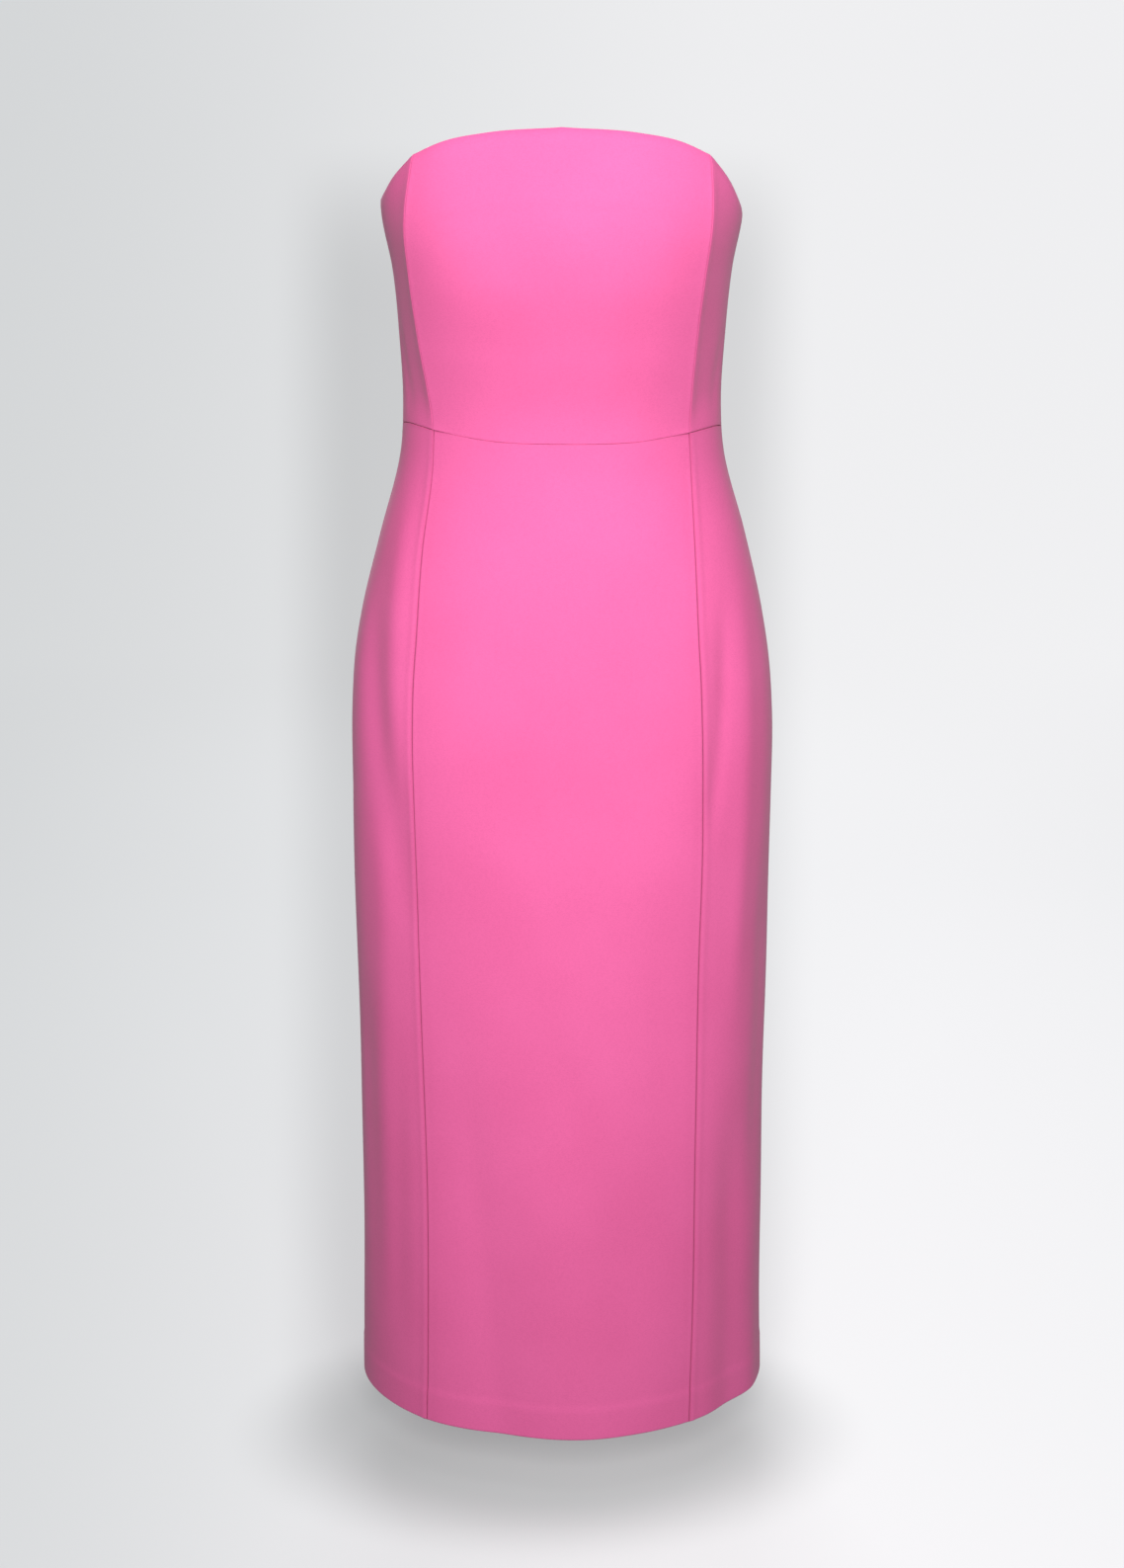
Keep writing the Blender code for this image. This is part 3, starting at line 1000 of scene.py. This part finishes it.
@dataclass(frozen=True)
class TapeFinish:
    """Woven zip tape with fine lengthwise ribs and painted shade between them.

    Attributes:
        colour: Main colour.
        shade: Painted shade colour between the ribs.
        rib: Ribs to a metre of width.
        weft: Weft threads to a rib.
        depth: Depth of the weave.
    """

    colour: tuple = (0.800, 0.130, 0.345, 1.0)
    shade: tuple = (0.560, 0.080, 0.230, 1.0)
    rib: float = 1500.0
    weft: float = 0.8
    depth: float = 0.00015

    def build(self, name: str) -> bpy.types.Material:
        """Make the material.

        Args:
            name: Name of the material.

        Returns:
            The material.
        """
        surface = Surface(name, {"Roughness": 0.86, "Sheen Weight": 0.12})
        cloth = surface.cloth()
        ribs = cloth.part("X").wave(self.rib)
        weft = cloth.part("Y").wave(self.rib * self.weft)
        weave = ribs * 0.65 + weft * 0.35
        # Painted shade: the hollows between the ribs and threads take the darker colour.
        surface.set("Base Color", weave.blend(self.shade, self.colour))
        surface.bump(weave, self.depth)
        return surface.material


@dataclass(frozen=True)
class CoilFinish:
    """Dyed nylon of the chain.

    Attributes:
        colour: Main colour.
        worn: Colour where the dye is thinner.
        roughness: Roughness.
    """

    colour: tuple = (0.820, 0.150, 0.370, 1.0)
    worn: tuple = (0.70, 0.11, 0.30, 1.0)
    roughness: float = 0.38

    def build(self, name: str) -> bpy.types.Material:
        """Make the material.

        Args:
            name: Name of the material.

        Returns:
            The material.
        """
        surface = Surface(name, {"IOR": 1.53})
        wear = surface.place().noise(420.0)
        surface.set("Base Color", wear.blend(self.worn, self.colour))
        surface.set("Roughness", self.roughness + (wear - 0.5) * 0.2)
        return surface.material


@dataclass(frozen=True)
class LacquerFinish:
    """Lacquered die-cast metal of the slider and its tab.

    Attributes:
        colour: Colour of the lacquer.
        scuffed: Colour where it is rubbed.
        roughness: Roughness under the coat.
    """

    colour: tuple = (0.790, 0.140, 0.350, 1.0)
    scuffed: tuple = (0.70, 0.12, 0.31, 1.0)
    roughness: float = 0.34

    def build(self, name: str) -> bpy.types.Material:
        """Make the material.

        Args:
            name: Name of the material.

        Returns:
            The material.
        """
        surface = Surface(name, {"Coat Weight": 0.6, "Coat Roughness": 0.12, "IOR": 1.5})
        place = surface.place()
        peel = place.noise(900.0, 2.0)
        scuff = place.noise(260.0, 4.0).ramp(0.55, 0.8)
        surface.set("Base Color", scuff.blend(self.colour, self.scuffed))
        surface.set("Roughness", self.roughness + scuff * 0.16)
        surface.bump(peel, 0.00002)
        return surface.material


@dataclass(frozen=True)
class PaperFinish:
    """Glowing matt paper of the studio floor, with painted light: paler towards +X.

    Attributes:
        left: Colour on the left of the view, the darker end of the painted light.
        right: Colour on the right of the view, the paler end of the painted light.
        glow: Strength of the light it gives off.
        dip: Share of that light left out under the lamps.
        shadow: Depth of the painted soft shadow behind the dress.
        contact: Depth of the painted soft shadow under the hem.
        matt: Share of the colour that the paper itself has.
        view: How fast the distance from the camera grows to the back, and that distance under
            the middle of the dress.
        off_middle: How far the painted soft shadow's middle lies to the right, as a share of it.
        hem_middle: Middle of the painted shadow under the hem, moved to the origin.
        hem_half: Half width and half depth of that painted shadow.
    """

    left: tuple = (0.680, 0.695, 0.705, 1.0)
    right: tuple = (0.900, 0.900, 0.915, 1.0)
    glow: float = 0.93
    dip: float = 0.13
    shadow: float = 0.22
    contact: float = 0.42
    matt: float = 0.22
    view: tuple = (0.95, 2.386)
    off_middle: float = 0.007
    hem_middle: tuple = (0.012, 0.020, 0.0)
    hem_half: tuple = (0.178, 0.128)

    def build(self, name: str) -> bpy.types.Material:
        """Make the material.

        Args:
            name: Name of the material.

        Returns:
            The material.
        """
        surface = Surface(
            name, {"Roughness": 0.9, "Specular IOR Level": 0.1, "Emission Strength": self.glow}
        )
        place = surface.place()
        away = place.part("Y")
        reach = away * self.view[0] + self.view[1]
        across = place.part("X") / reach.apply("MAXIMUM", 0.5)
        # Painted light: darker on the left and paler on the right, as if lit from the right.
        colour = across.ramp(-0.26, 0.12).blend(self.left, self.right)
        near = 1.0 - away.ramp(1.3, 2.6)
        # Painted soft shadow on the floor beside and behind the dress.
        side = (across + self.off_middle).apply("ABSOLUTE")
        shadow = (1.0 - side.ramp(0.070, 0.104)) * away.ramp(-0.15, 0.10)
        shadow = shadow * (1.0 - away.ramp(7.0, 14.0))
        # Painted soft shadow under the hem.
        half_width, half_depth = self.hem_half
        round_hem = (place + self.hem_middle) * (1 / half_width, 1 / half_depth, 0.0)
        off = round_hem.node("ShaderNodeVectorMath", {0: round_hem}, "Value", operation="LENGTH")
        contact = 1.0 - off.ramp(0.85, 1.65)
        # The glow is less near the lamps and carries both painted shadows.
        painted_shading = (1.0 - self.dip * near) * (1.0 - self.shadow * shadow)
        painted_shading = painted_shading * (1.0 - self.contact * contact)
        surface.set("Base Color", colour.scaled(self.matt))
        surface.set("Emission Color", colour.scaled(painted_shading))
        return surface.material


# Cloth panels


@dataclass(frozen=True)
class Panel:
    """One cut panel, between two seams.

    Attributes:
        part: Bodice or skirt.
        place: Name of its place round the body.
        first: Signed station of its first seam.
        last: Signed station of its last seam.
        dart: Station of its waist dart, if it has one.
    """

    part: Part
    place: str
    first: float
    last: float
    dart: Optional[float] = None

    @property
    def name(self) -> str:
        """Name of the panel's solid."""
        return f"{self.part.value}_{self.place}"


PLACES: tuple[tuple[str, float, float, Optional[float]], ...] = (
    ("back_right", -3.0, -2.0, -2.52),
    ("side_front_right", -2.0, -1.0, None),
    ("front", -1.0, 1.0, None),
    ("side_front_left", 1.0, 2.0, None),
    ("back_left", 2.0, 3.0, 2.50),
)


@dataclass(frozen=True)
class Tailoring:
    """How the edges of the panels are turned and pressed.

    Attributes:
        step: Widest step of the grid across.
        row: Widest step of the grid up.
        seam_turn: Radius of the cloth where it turns into a seam.
        press: Height of the ridge that the pressed allowance makes beside a seam.
        press_at: How far from the seam that ridge stands.
        press_width: Its width.
        hem_proud: How far the doubled hem stands out.
        shade_width: How soon the painted shade of a seam dies away.
        crest: Extra height of the bodice's princess seams.
        crest_width: How soon that dies away.
        hollow: Depth of the hollow across a side front of the bodice.
        notch: How far the bodice's corner laps over the skirt at a princess seam.
        notch_length: Length of that lap.
        facing: Height of the facing that shows through below the top edge.
        facing_proud: How far the cloth stands out over it.
        dart_depth: Depth of a dart's line.
        bodice_dart: Length of the bodice dart.
        skirt_dart: Length of the skirt dart.
        dart_line: How soon a dart's line dies away.
        dart_ridge: Height of the soft ridge beside it.
        pull: Distance over which the cloth is drawn back from a seam's gap.
        waist_shade: Painted shade at the waist seam, as a share of the crepe's seam shade colour.
        bodice_shade: Painted shade at the bodice's vertical seams.
        skirt_shade: Painted shade at the skirt's.
        dart_shade: Painted shade at a dart.
    """

    step: float = 0.0025
    row: float = 0.0029
    seam_turn: float = 0.00075
    press: float = 0.00050
    press_at: float = 0.0036
    press_width: float = 0.0026
    hem_proud: float = 0.00050
    shade_width: float = 0.0007
    crest: float = 0.0016
    crest_width: float = 0.013
    hollow: float = 0.0044
    notch: float = 0.0008
    notch_length: float = 0.018
    facing: float = 0.055
    facing_proud: float = 0.0004
    dart_depth: float = 0.0007
    bodice_dart: float = 0.120
    skirt_dart: float = 0.130
    dart_line: float = 0.0007
    dart_ridge: float = 0.0004
    pull: float = 0.010
    waist_shade: float = 0.5
    bodice_shade: float = 0.30
    skirt_shade: float = 0.62
    dart_shade: float = 0.6


class PanelMaker:
    """Makes the ten crepe shells."""

    def __init__(self, form: DressForm, creases: CreaseField, tailoring: Tailoring) -> None:
        """Keep what the panels share.

        Args:
            form: The plain form.
            creases: Its soft relief.
            tailoring: How the edges are turned.
        """
        self.form = form
        self.creases = creases
        self.tailoring = tailoring
        self.finish = CrepeFinish()

    def back_gap(self, rise: Array) -> Array:
        """Half of the gap at the centre back.

        Args:
            rise: Heights above the waist seam.

        Returns:
            The seam's half gap, wider down the slit and over the neck of the slider.
        """
        g = self.form.garment
        slit = np.maximum(0.0, (rise + g.skirt - g.slit) / -g.slit)
        top = self.form.top_edge(np.array(3.0))
        past = (top - rise - g.zip_part_height) / g.zip_part_fade
        parted = (g.zip_part - g.half_gap) * np.clip(1 - past, 0.0, 1.0)
        return g.half_gap + g.slit_half * slit + parted

    def seam_relief(self, panel: Panel, side: float, border: Array, rise: Array) -> Array:
        """Ridge that the pressed allowance makes beside a vertical seam.

        Args:
            panel: The panel.
            side: Station of the seam.
            border: Distance in from the seam.
            rise: Heights above the waist seam.

        Returns:
            A soft ridge on the panel towards the side, and a shallow hollow on the other.
        """
        t = self.tailoring
        ridge = np.exp(-(((border - t.press_at) / t.press_width) ** 2))
        outer = abs(panel.first + panel.last) / 2 > abs(side)
        fade = 0.45 + 0.55 * smooth_step(-rise / 0.05)
        return np.where(outer, t.press, -0.4 * t.press) * ridge * fade

    def boxing(self, panel: Panel, borders: tuple, above_low: Array, below_top: Array) -> Array:
        """Boxy turn of the bodice at its princess seams.

        Args:
            panel: The panel.
            borders: Distances in from both seams.
            above_low: Distance up from the waist seam.
            below_top: Distance down from the top edge.

        Returns:
            A crest c·e^(-b/w) beside each princess seam, and across a side front a hollow
            h·sin(πa)·(1 - a)^1.5, where a goes from the princess seam to the side seam.
        """
        t = self.tailoring
        lift = np.zeros_like(above_low)
        for seam, border in zip((panel.first, panel.last), borders):
            if abs(seam) == 1.0:
                lift = lift + t.crest * np.exp(-border / t.crest_width)
        if panel.place.startswith("side_front"):
            across = borders[0 if panel.first == 1.0 else 1] / (borders[0] + borders[1])
            lift = lift - t.hollow * np.sin(math.pi * across) * (1.0 - across) ** 1.5
        ease = smooth_step(above_low / 0.030) * (0.35 + 0.65 * smooth_step(below_top / 0.030))
        return lift * ease

    def build(self, panel: Panel) -> bpy.types.Object:
        """Make one panel.

        The outer face is the plain form plus its relief and creases, less the quarter-round
        turns along its edges. The inner face lies one cloth thickness inside it.

        Args:
            panel: The panel.

        Returns:
            The shell, riding on the dress.
        """
        g, t, form = self.form.garment, self.tailoring, self.form
        bodice = panel.part is Part.BODICE
        middle = np.array(0.10 if bodice else -0.45)
        ends = [form.walked(np.array(seam), middle) for seam in (panel.first, panel.last)]
        length = 0.20 if bodice else g.skirt
        stations = panel.last - panel.first
        marks = () if panel.dart is None else ((panel.dart - panel.first) / stations,)
        across = graded(float(ends[1] - ends[0]), t.step, marks)
        up = graded(length, t.row)
        station, share = np.meshgrid(panel.first + stations * across, up)
        waist = form.waist_line(station)
        low = waist + g.half_gap if bodice else np.full_like(station, -g.skirt)
        high = form.top_edge(station) if bodice else waist - g.half_gap
        rise = low + (high - low) * share
        raw = form.walked(station, rise)
        start = form.walked(np.full_like(station, panel.first), rise)
        end = form.walked(np.full_like(station, panel.last), rise)
        gaps = [
            self.back_gap(rise) if abs(seam) == 3.0 else np.full_like(rise, g.half_gap)
            for seam in (panel.first, panel.last)
        ]
        shift = gaps[0] * np.clip(1 - (raw - start) / t.pull, 0, 1)
        shift = shift - gaps[1] * np.clip(1 - (end - raw) / t.pull, 0, 1)
        distance = raw + shift
        borders = (distance - start - gaps[0], end - gaps[1] - distance)
        below_top, above_low = high - rise, rise - low

        wall = np.full_like(rise, g.cloth)
        if not bodice:
            hem_zone = smooth_step((-(g.skirt - g.hem_turn) - rise) / 0.002 + 1.0)
            wall = wall + (g.hem_cloth - g.cloth) * hem_zone
        soft = form.relief(station, rise, distance)
        soft = soft + self.creases.lift(station, rise, distance)
        if bodice:
            soft = soft + self.boxing(panel, borders, above_low, below_top)
        face = soft.copy()
        for seam, border in zip((panel.first, panel.last), borders):
            face = face + self.seam_relief(panel, seam, border, rise)
        if not bodice:
            hem = smooth_step((-(g.skirt - g.hem_turn) - rise) / 0.004 + 0.5)
            face = face + t.hem_proud * hem
        if panel.dart is not None:
            off = np.abs(distance - form.walked(np.full_like(station, panel.dart), rise))
            reach = t.bodice_dart if bodice else t.skirt_dart
            fade = smooth_step(1 - np.abs(rise - waist) / reach)
            face = face - t.dart_depth * np.exp(-off / t.dart_line) * np.sqrt(fade)
            face = face + t.dart_ridge * np.exp(-((off - 0.003) / 0.002) ** 2) * fade

        turn = np.zeros_like(rise)
        for seam, border in zip((panel.first, panel.last), borders):
            open_edge = (abs(seam) == 3.0) & (rise < -(g.skirt - g.slit))
            turned = np.where(
                open_edge, rounded(border, g.cloth / 2), rounded(border, t.seam_turn)
            )
            turn = np.maximum(turn, turned)
        waist_border = above_low if bodice else below_top
        if panel.place == "front":
            near_seam = hump(np.minimum(*borders), t.notch_length)
            clear = 0.04 + 0.20 * np.cos(station * 7.0 + 0.6) ** 2
            waist_share = np.maximum(clear, near_seam)
            lip = t.notch * near_seam * np.exp(-waist_border / 0.004)
            face = face + (lip if bodice else -lip)
        else:
            waist_share = 1.0
        waist_turn = rounded(waist_border, t.seam_turn) * waist_share
        if bodice and panel.place == "front":
            inside = smooth_step((t.facing - below_top) / 0.003 + 0.5)
            face = face + t.facing_proud * inside * smooth_step(np.minimum(*borders) / 0.02)
        free_border = below_top if bodice else above_low
        radius = (g.cloth if bodice else g.hem_cloth + t.hem_proud) / 2 - 0.00002
        free = rounded(free_border, radius)
        outer_depth = np.maximum(np.maximum(turn, waist_turn), free)
        # Painted shade: a darker band along each seam, the waist seam and each dart, for the
        # crepe's base colour.
        shade = np.exp(-waist_border / t.shade_width) * waist_share * t.waist_shade
        seam_shade = t.bodice_shade if bodice else t.skirt_shade
        for border in borders:
            shade = np.maximum(shade, seam_shade * np.exp(-border / t.shade_width))
        if panel.dart is not None:
            dart_shade = t.dart_shade * np.exp(-off / t.shade_width) * np.sqrt(fade)
            shade = np.maximum(shade, dart_shade)

        plain, normal = form.plain(distance, rise), form.outward(distance, rise)
        outer = plain + normal * (face - outer_depth)[..., None]
        inner = plain + normal * (soft - wall + free)[..., None]
        name = f"crepe_{panel.name}"
        made = wall_from_grids(name, outer, inner, np.stack([distance, rise], axis=-1))
        # The painted seam shade is kept on the outer face only.
        shades = np.concatenate([shade.ravel(), np.zeros(shade.size)]).astype(np.float32)
        layer = made.data.attributes.new("seam_shade", "FLOAT", "POINT")
        layer.data.foreach_set("value", shades)
        settle(made, self.finish.build(name), Body.DRESS, panel.name)
        area = grid_area(outer)
        flat_width = float((end - start - gaps[0] - gaps[1]).max())
        flat_length = float((high - low).max()) if bodice else g.skirt
        flat_length = max(flat_length * 1.01, area / flat_width)
        seen = min(area, flat_width * flat_length)
        LOG.info("%s: %.4f m2, flat %.3f x %.3f", name, area, flat_width, flat_length)
        return made


# Concealed zip


@dataclass(frozen=True)
class ZipSizes:
    """Sizes of the concealed zip.

    Attributes:
        gap: Gap at which its pieces rest on each other.
        tape_edge: Distance of the tape from the seam.
        tape_width: Width of a tape.
        tape: Thickness of a tape.
        wire: Radius of the coil's wire.
        pitch: Distance between two turns of a coil.
        reach: Half width of a coil.
        offset: Distance of a coil's middle from the seam.
        thick: Thickness of the chain.
        bevel: Width of the slider's broken edges.
        turn_steps: Rings of the wire's tube to a turn.
        wire_sides: Points of a ring.
    """

    gap: float = 0.0003
    tape_edge: float = 0.0016
    tape_width: float = 0.0110
    tape: float = 0.0010
    wire: float = 0.00026
    pitch: float = 0.0011
    reach: float = 0.00095
    offset: float = 0.00078
    thick: float = 0.0015
    bevel: float = 0.00022
    turn_steps: int = 12
    wire_sides: int = 6


class ConcealedZip:
    """The zip inside the centre back seam."""

    def __init__(self, form: DressForm, sizes: ZipSizes = ZipSizes()) -> None:
        """Keep the form and the sizes.

        Args:
            form: The plain form.
            sizes: Sizes of the zip.
        """
        self.form = form
        self.sizes = sizes
        self.depth = form.garment.cloth + sizes.gap

    def reach(self, name: str) -> tuple[float, float]:
        """Rises of the lower and the upper end of a solid."""
        low, high = (corner.z - self.form.garment.waist_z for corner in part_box(name))
        return low, high

    def tape(self, side: float, name: str) -> bpy.types.Object:
        """Make one woven tape.

        Args:
            side: 1 for the wearer's left and -1 for the right.
            name: Name of its solid.

        Returns:
            The tape, riding on the dress.
        """
        s = self.sizes
        low, high = self.reach(name)
        rise = np.linspace(low, high, 150)
        off = np.linspace(s.tape_edge + s.tape_width, s.tape_edge, 13)
        shift, height = np.meshgrid(-off, rise)
        station = np.full_like(height, 3.0)
        belly = s.tape * 0.12 * np.cos((shift + s.tape_edge) / s.tape_width * math.pi) ** 2
        outer = self.form.skin(station, height, shift, self.depth + belly)
        inner = self.form.skin(station, height, shift, self.depth + s.tape - belly)
        if side < 0:
            outer, inner = outer[:, ::-1] * (-1, 1, 1), inner[:, ::-1] * (-1, 1, 1)
            shift = -shift[:, ::-1]
        piece = f"woven_{name}"
        made = wall_from_grids(piece, outer, inner, np.stack([shift, height], axis=-1))
        settle(made, TapeFinish().build(piece), Body.DRESS, name)
        LOG.info("%s: %.1f mm long", made.name, (high - low) * 1000)
        return made

    def chain(self) -> bpy.types.Object:
        """Make the two meshed coils.

        Each coil's line is a flattened helix: across it runs o + r·cos a, in depth d·sin a,
        and along it one pitch a turn. A ring of points rides on that line.

        Returns:
            The chain, riding on the dress.
        """
        s = self.sizes
        low, high = self.reach("zip_chain")
        turns = int((high - low - 2 * s.wire) / s.pitch) - 1
        steps, ring = turns * s.turn_steps, s.wire_sides
        angle = np.linspace(0.0, math.tau * turns, steps + 1)
        mid = self.depth + s.tape + s.gap + s.thick / 2
        points, faces = [], []
        for side in (1.0, -1.0):
            rise = low + s.wire + s.pitch * (angle / math.tau + (0.5 if side < 0 else 0.0))
            across = side * (s.offset + s.reach * np.cos(angle))
            depth = mid - (s.thick / 2 - s.wire) * np.sin(angle)
            line = self.form.skin(np.full_like(rise, 3.0), rise, np.zeros_like(rise), depth)
            line[:, 0] = across
            along = np.gradient(line, axis=0)
            along /= np.linalg.norm(along, axis=1, keepdims=True)
            first = np.cross(along, np.array((0.0, 0.0, 1.0)))
            first /= np.linalg.norm(first, axis=1, keepdims=True)
            second = np.cross(along, first)
            around = np.linspace(0.0, math.tau, ring, endpoint=False)[None, :, None]
            offsets = first[:, None] * np.cos(around) + second[:, None] * np.sin(around)
            tube = line[:, None] + s.wire * offsets
            count = (steps + 1) * ring
            index = np.arange(count).reshape(steps + 1, ring) + len(points) * count
            here, there = index[:-1], index[1:]
            quads = np.stack([here, np.roll(here, -1, 1), np.roll(there, -1, 1), there], axis=-1)
            points.append(tube.reshape(-1, 3))
            faces.append(quads.reshape(-1, 4))
        name = "coiled_zip_chain"
        made = object_from_grid(name, np.concatenate(points), np.concatenate(faces))
        settle(made, CoilFinish().build(name), Body.DRESS, "zip_chain")
        LOG.info("%s: %d turns to a coil", made.name, turns)
        return made

    def cast(self, node: str, body: Body) -> bpy.types.Object:
        """Make a lacquered metal piece from its solid, with its sharp edges broken.

        Args:
            node: Name of the solid.
            body: Body that it rides on.

        Returns:
            The piece.
        """
        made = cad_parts[node].copy()
        made.data = made.data.copy()
        made.data.materials.clear()
        made.name = f"lacquered_{node}"
        made.data.name = made.name
        made.parent = None
        made.matrix_world.identity()
        bpy.context.scene.collection.objects.link(made)
        shape = bmesh.new()
        shape.from_mesh(made.data)
        bmesh.ops.remove_doubles(shape, verts=shape.verts, dist=1e-6)
        bmesh.ops.dissolve_limit(
            shape, angle_limit=math.radians(1.0), verts=shape.verts, edges=shape.edges
        )
        sharp = [
            edge
            for edge in shape.edges
            if len(edge.link_faces) == 2 and edge.calc_face_angle(0.0) > math.radians(50)
        ]
        bmesh.ops.bevel(
            shape,
            geom=sharp,
            offset=self.sizes.bevel,
            segments=3,
            profile=0.5,
            affect="EDGES",
            clamp_overlap=True,
        )
        bmesh.ops.triangulate(shape, faces=shape.faces)
        bmesh.ops.recalc_face_normals(shape, faces=shape.faces)
        shape.to_mesh(made.data)
        shape.free()
        made.data.polygons.foreach_set("use_smooth", np.ones(len(made.data.polygons), bool))
        made.data.set_sharp_from_angle(angle=math.radians(35))
        settle(made, LacquerFinish().build(made.name), body, node)
        LOG.info("%s: %d faces", made.name, len(made.data.polygons))
        return made

    def build(self) -> None:
        """Make every piece of the zip."""
        self.tape(1.0, "zip_tape_left")
        self.tape(-1.0, "zip_tape_right")
        self.chain()
        self.cast("zip_slider", Body.DRESS)
        self.cast("zip_pull_tab", Body.TAB)


# Studio


@dataclass(frozen=True)
class SoftBox:
    """One soft light.

    Attributes:
        name: Its name.
        place: Where it stands.
        aim: What it faces.
        size: Its width and height.
        power: Its power in watts.
        colour: Its colour.
        spread: Angle that it spreads over, in degrees.
    """

    name: str
    place: tuple
    aim: tuple
    size: tuple
    power: float
    colour: tuple
    spread: float = 120.0

    def build(self) -> bpy.types.Object:
        """Make the light.

        Returns:
            The light, which the camera does not see.
        """
        lamp = bpy.data.lights.new(self.name, "AREA")
        lamp.shape = "RECTANGLE"
        lamp.size, lamp.size_y = self.size
        lamp.energy = self.power
        lamp.color = self.colour
        lamp.spread = math.radians(self.spread)
        made = bpy.data.objects.new(self.name, lamp)
        made.location = self.place
        made.rotation_mode = "QUATERNION"
        towards = Vector(self.aim) - Vector(self.place)
        made.rotation_quaternion = towards.to_track_quat("-Z", "Y")
        made.visible_camera = False
        bpy.context.scene.collection.objects.link(made)
        return made


SOFT_BOXES = (
    SoftBox("key", (0.04, -1.85, 0.50), (0.0, 0.0, -0.38), (0.8, 0.8), 20.6, (1.0, 0.985, 0.97)),
    SoftBox("top", (0.10, -0.55, 1.30), (0.0, -0.05, 0.0), (0.8, 0.5), 2.6, (1.0, 0.97, 0.98)),
    SoftBox("back", (-0.20, 2.4, 0.70), (0.0, 0.0, -0.35), (1.4, 1.4), 26.0, (0.96, 0.98, 1.0)),
)


@dataclass(frozen=True)
class Studio:
    """Floor, lights, world and camera.

    Attributes:
        floor_z: Height of the floor.
        floor_half: Half of its side.
        world: Colour of the world.
        world_strength: Strength of the world's light.
        middle_z: Height that the camera looks at.
        distance: Distance of the camera from there.
        elevation: Angle of the camera above the horizontal, in degrees.
        focal: Focal length on a 36 mm sensor.
    """

    floor_z: float = -1.060
    floor_half: float = 90.0
    world: tuple = (0.93, 0.95, 0.97, 1.0)
    world_strength: float = 0.13
    middle_z: float = -0.4646
    distance: float = 2.2
    elevation: float = 18.25
    focal: float = 61.2

    def floor(self) -> bpy.types.Object:
        """Make the paper floor.

        Returns:
            The floor, which is no part of the dress.
        """
        h, z = self.floor_half, self.floor_z
        points = np.array(((-h, -h, z), (h, -h, z), (h, h, z), (-h, h, z)))
        made = object_from_grid("paper_floor", points, np.array(((0, 1, 2, 3),)))
        made.data.materials.append(PaperFinish().build("paper_floor"))
        made.visible_diffuse = False
        return made

    def camera(self) -> bpy.types.Object:
        """Make the camera, straight on and looking down on the dress.

        Returns:
            The camera.
        """
        lens = bpy.data.cameras.new("camera")
        lens.lens = self.focal
        lens.sensor_width = 36.0
        lens.sensor_fit = "AUTO"
        made = bpy.data.objects.new("camera", lens)
        tilt = math.radians(self.elevation)
        back = Vector((0.0, -math.cos(tilt), math.sin(tilt)))
        made.location = Vector((0.0, 0.0, self.middle_z)) + back * self.distance
        made.rotation_mode = "QUATERNION"
        made.rotation_quaternion = (-back).to_track_quat("-Z", "Y")
        bpy.context.scene.collection.objects.link(made)
        bpy.context.scene.camera = made
        return made

    def build(self) -> None:
        """Make the whole studio."""
        scene = bpy.context.scene
        scene.view_settings.view_transform = "Standard"
        scene.view_settings.look = "None"
        world = bpy.data.worlds.new("studio")
        world.use_nodes = True
        ground = world.node_tree.nodes["Background"]
        ground.inputs["Color"].default_value = self.world
        ground.inputs["Strength"].default_value = self.world_strength
        scene.world = world
        self.floor()
        for soft_box in SOFT_BOXES:
            soft_box.build()
        self.camera()
        LOG.info("studio: camera %.1f m away at %.2f degrees", self.distance, self.elevation)


def main() -> None:
    """Build the looks of the dress and its studio."""
    form = DressForm()
    maker = PanelMaker(form, CreaseField(form), Tailoring())
    for part in Part:
        for place, first, last, dart in PLACES:
            maker.build(Panel(part, place, first, last, dart))
    ConcealedZip(form).build()
    Studio().build()


if __name__ == "__main__":
    main()
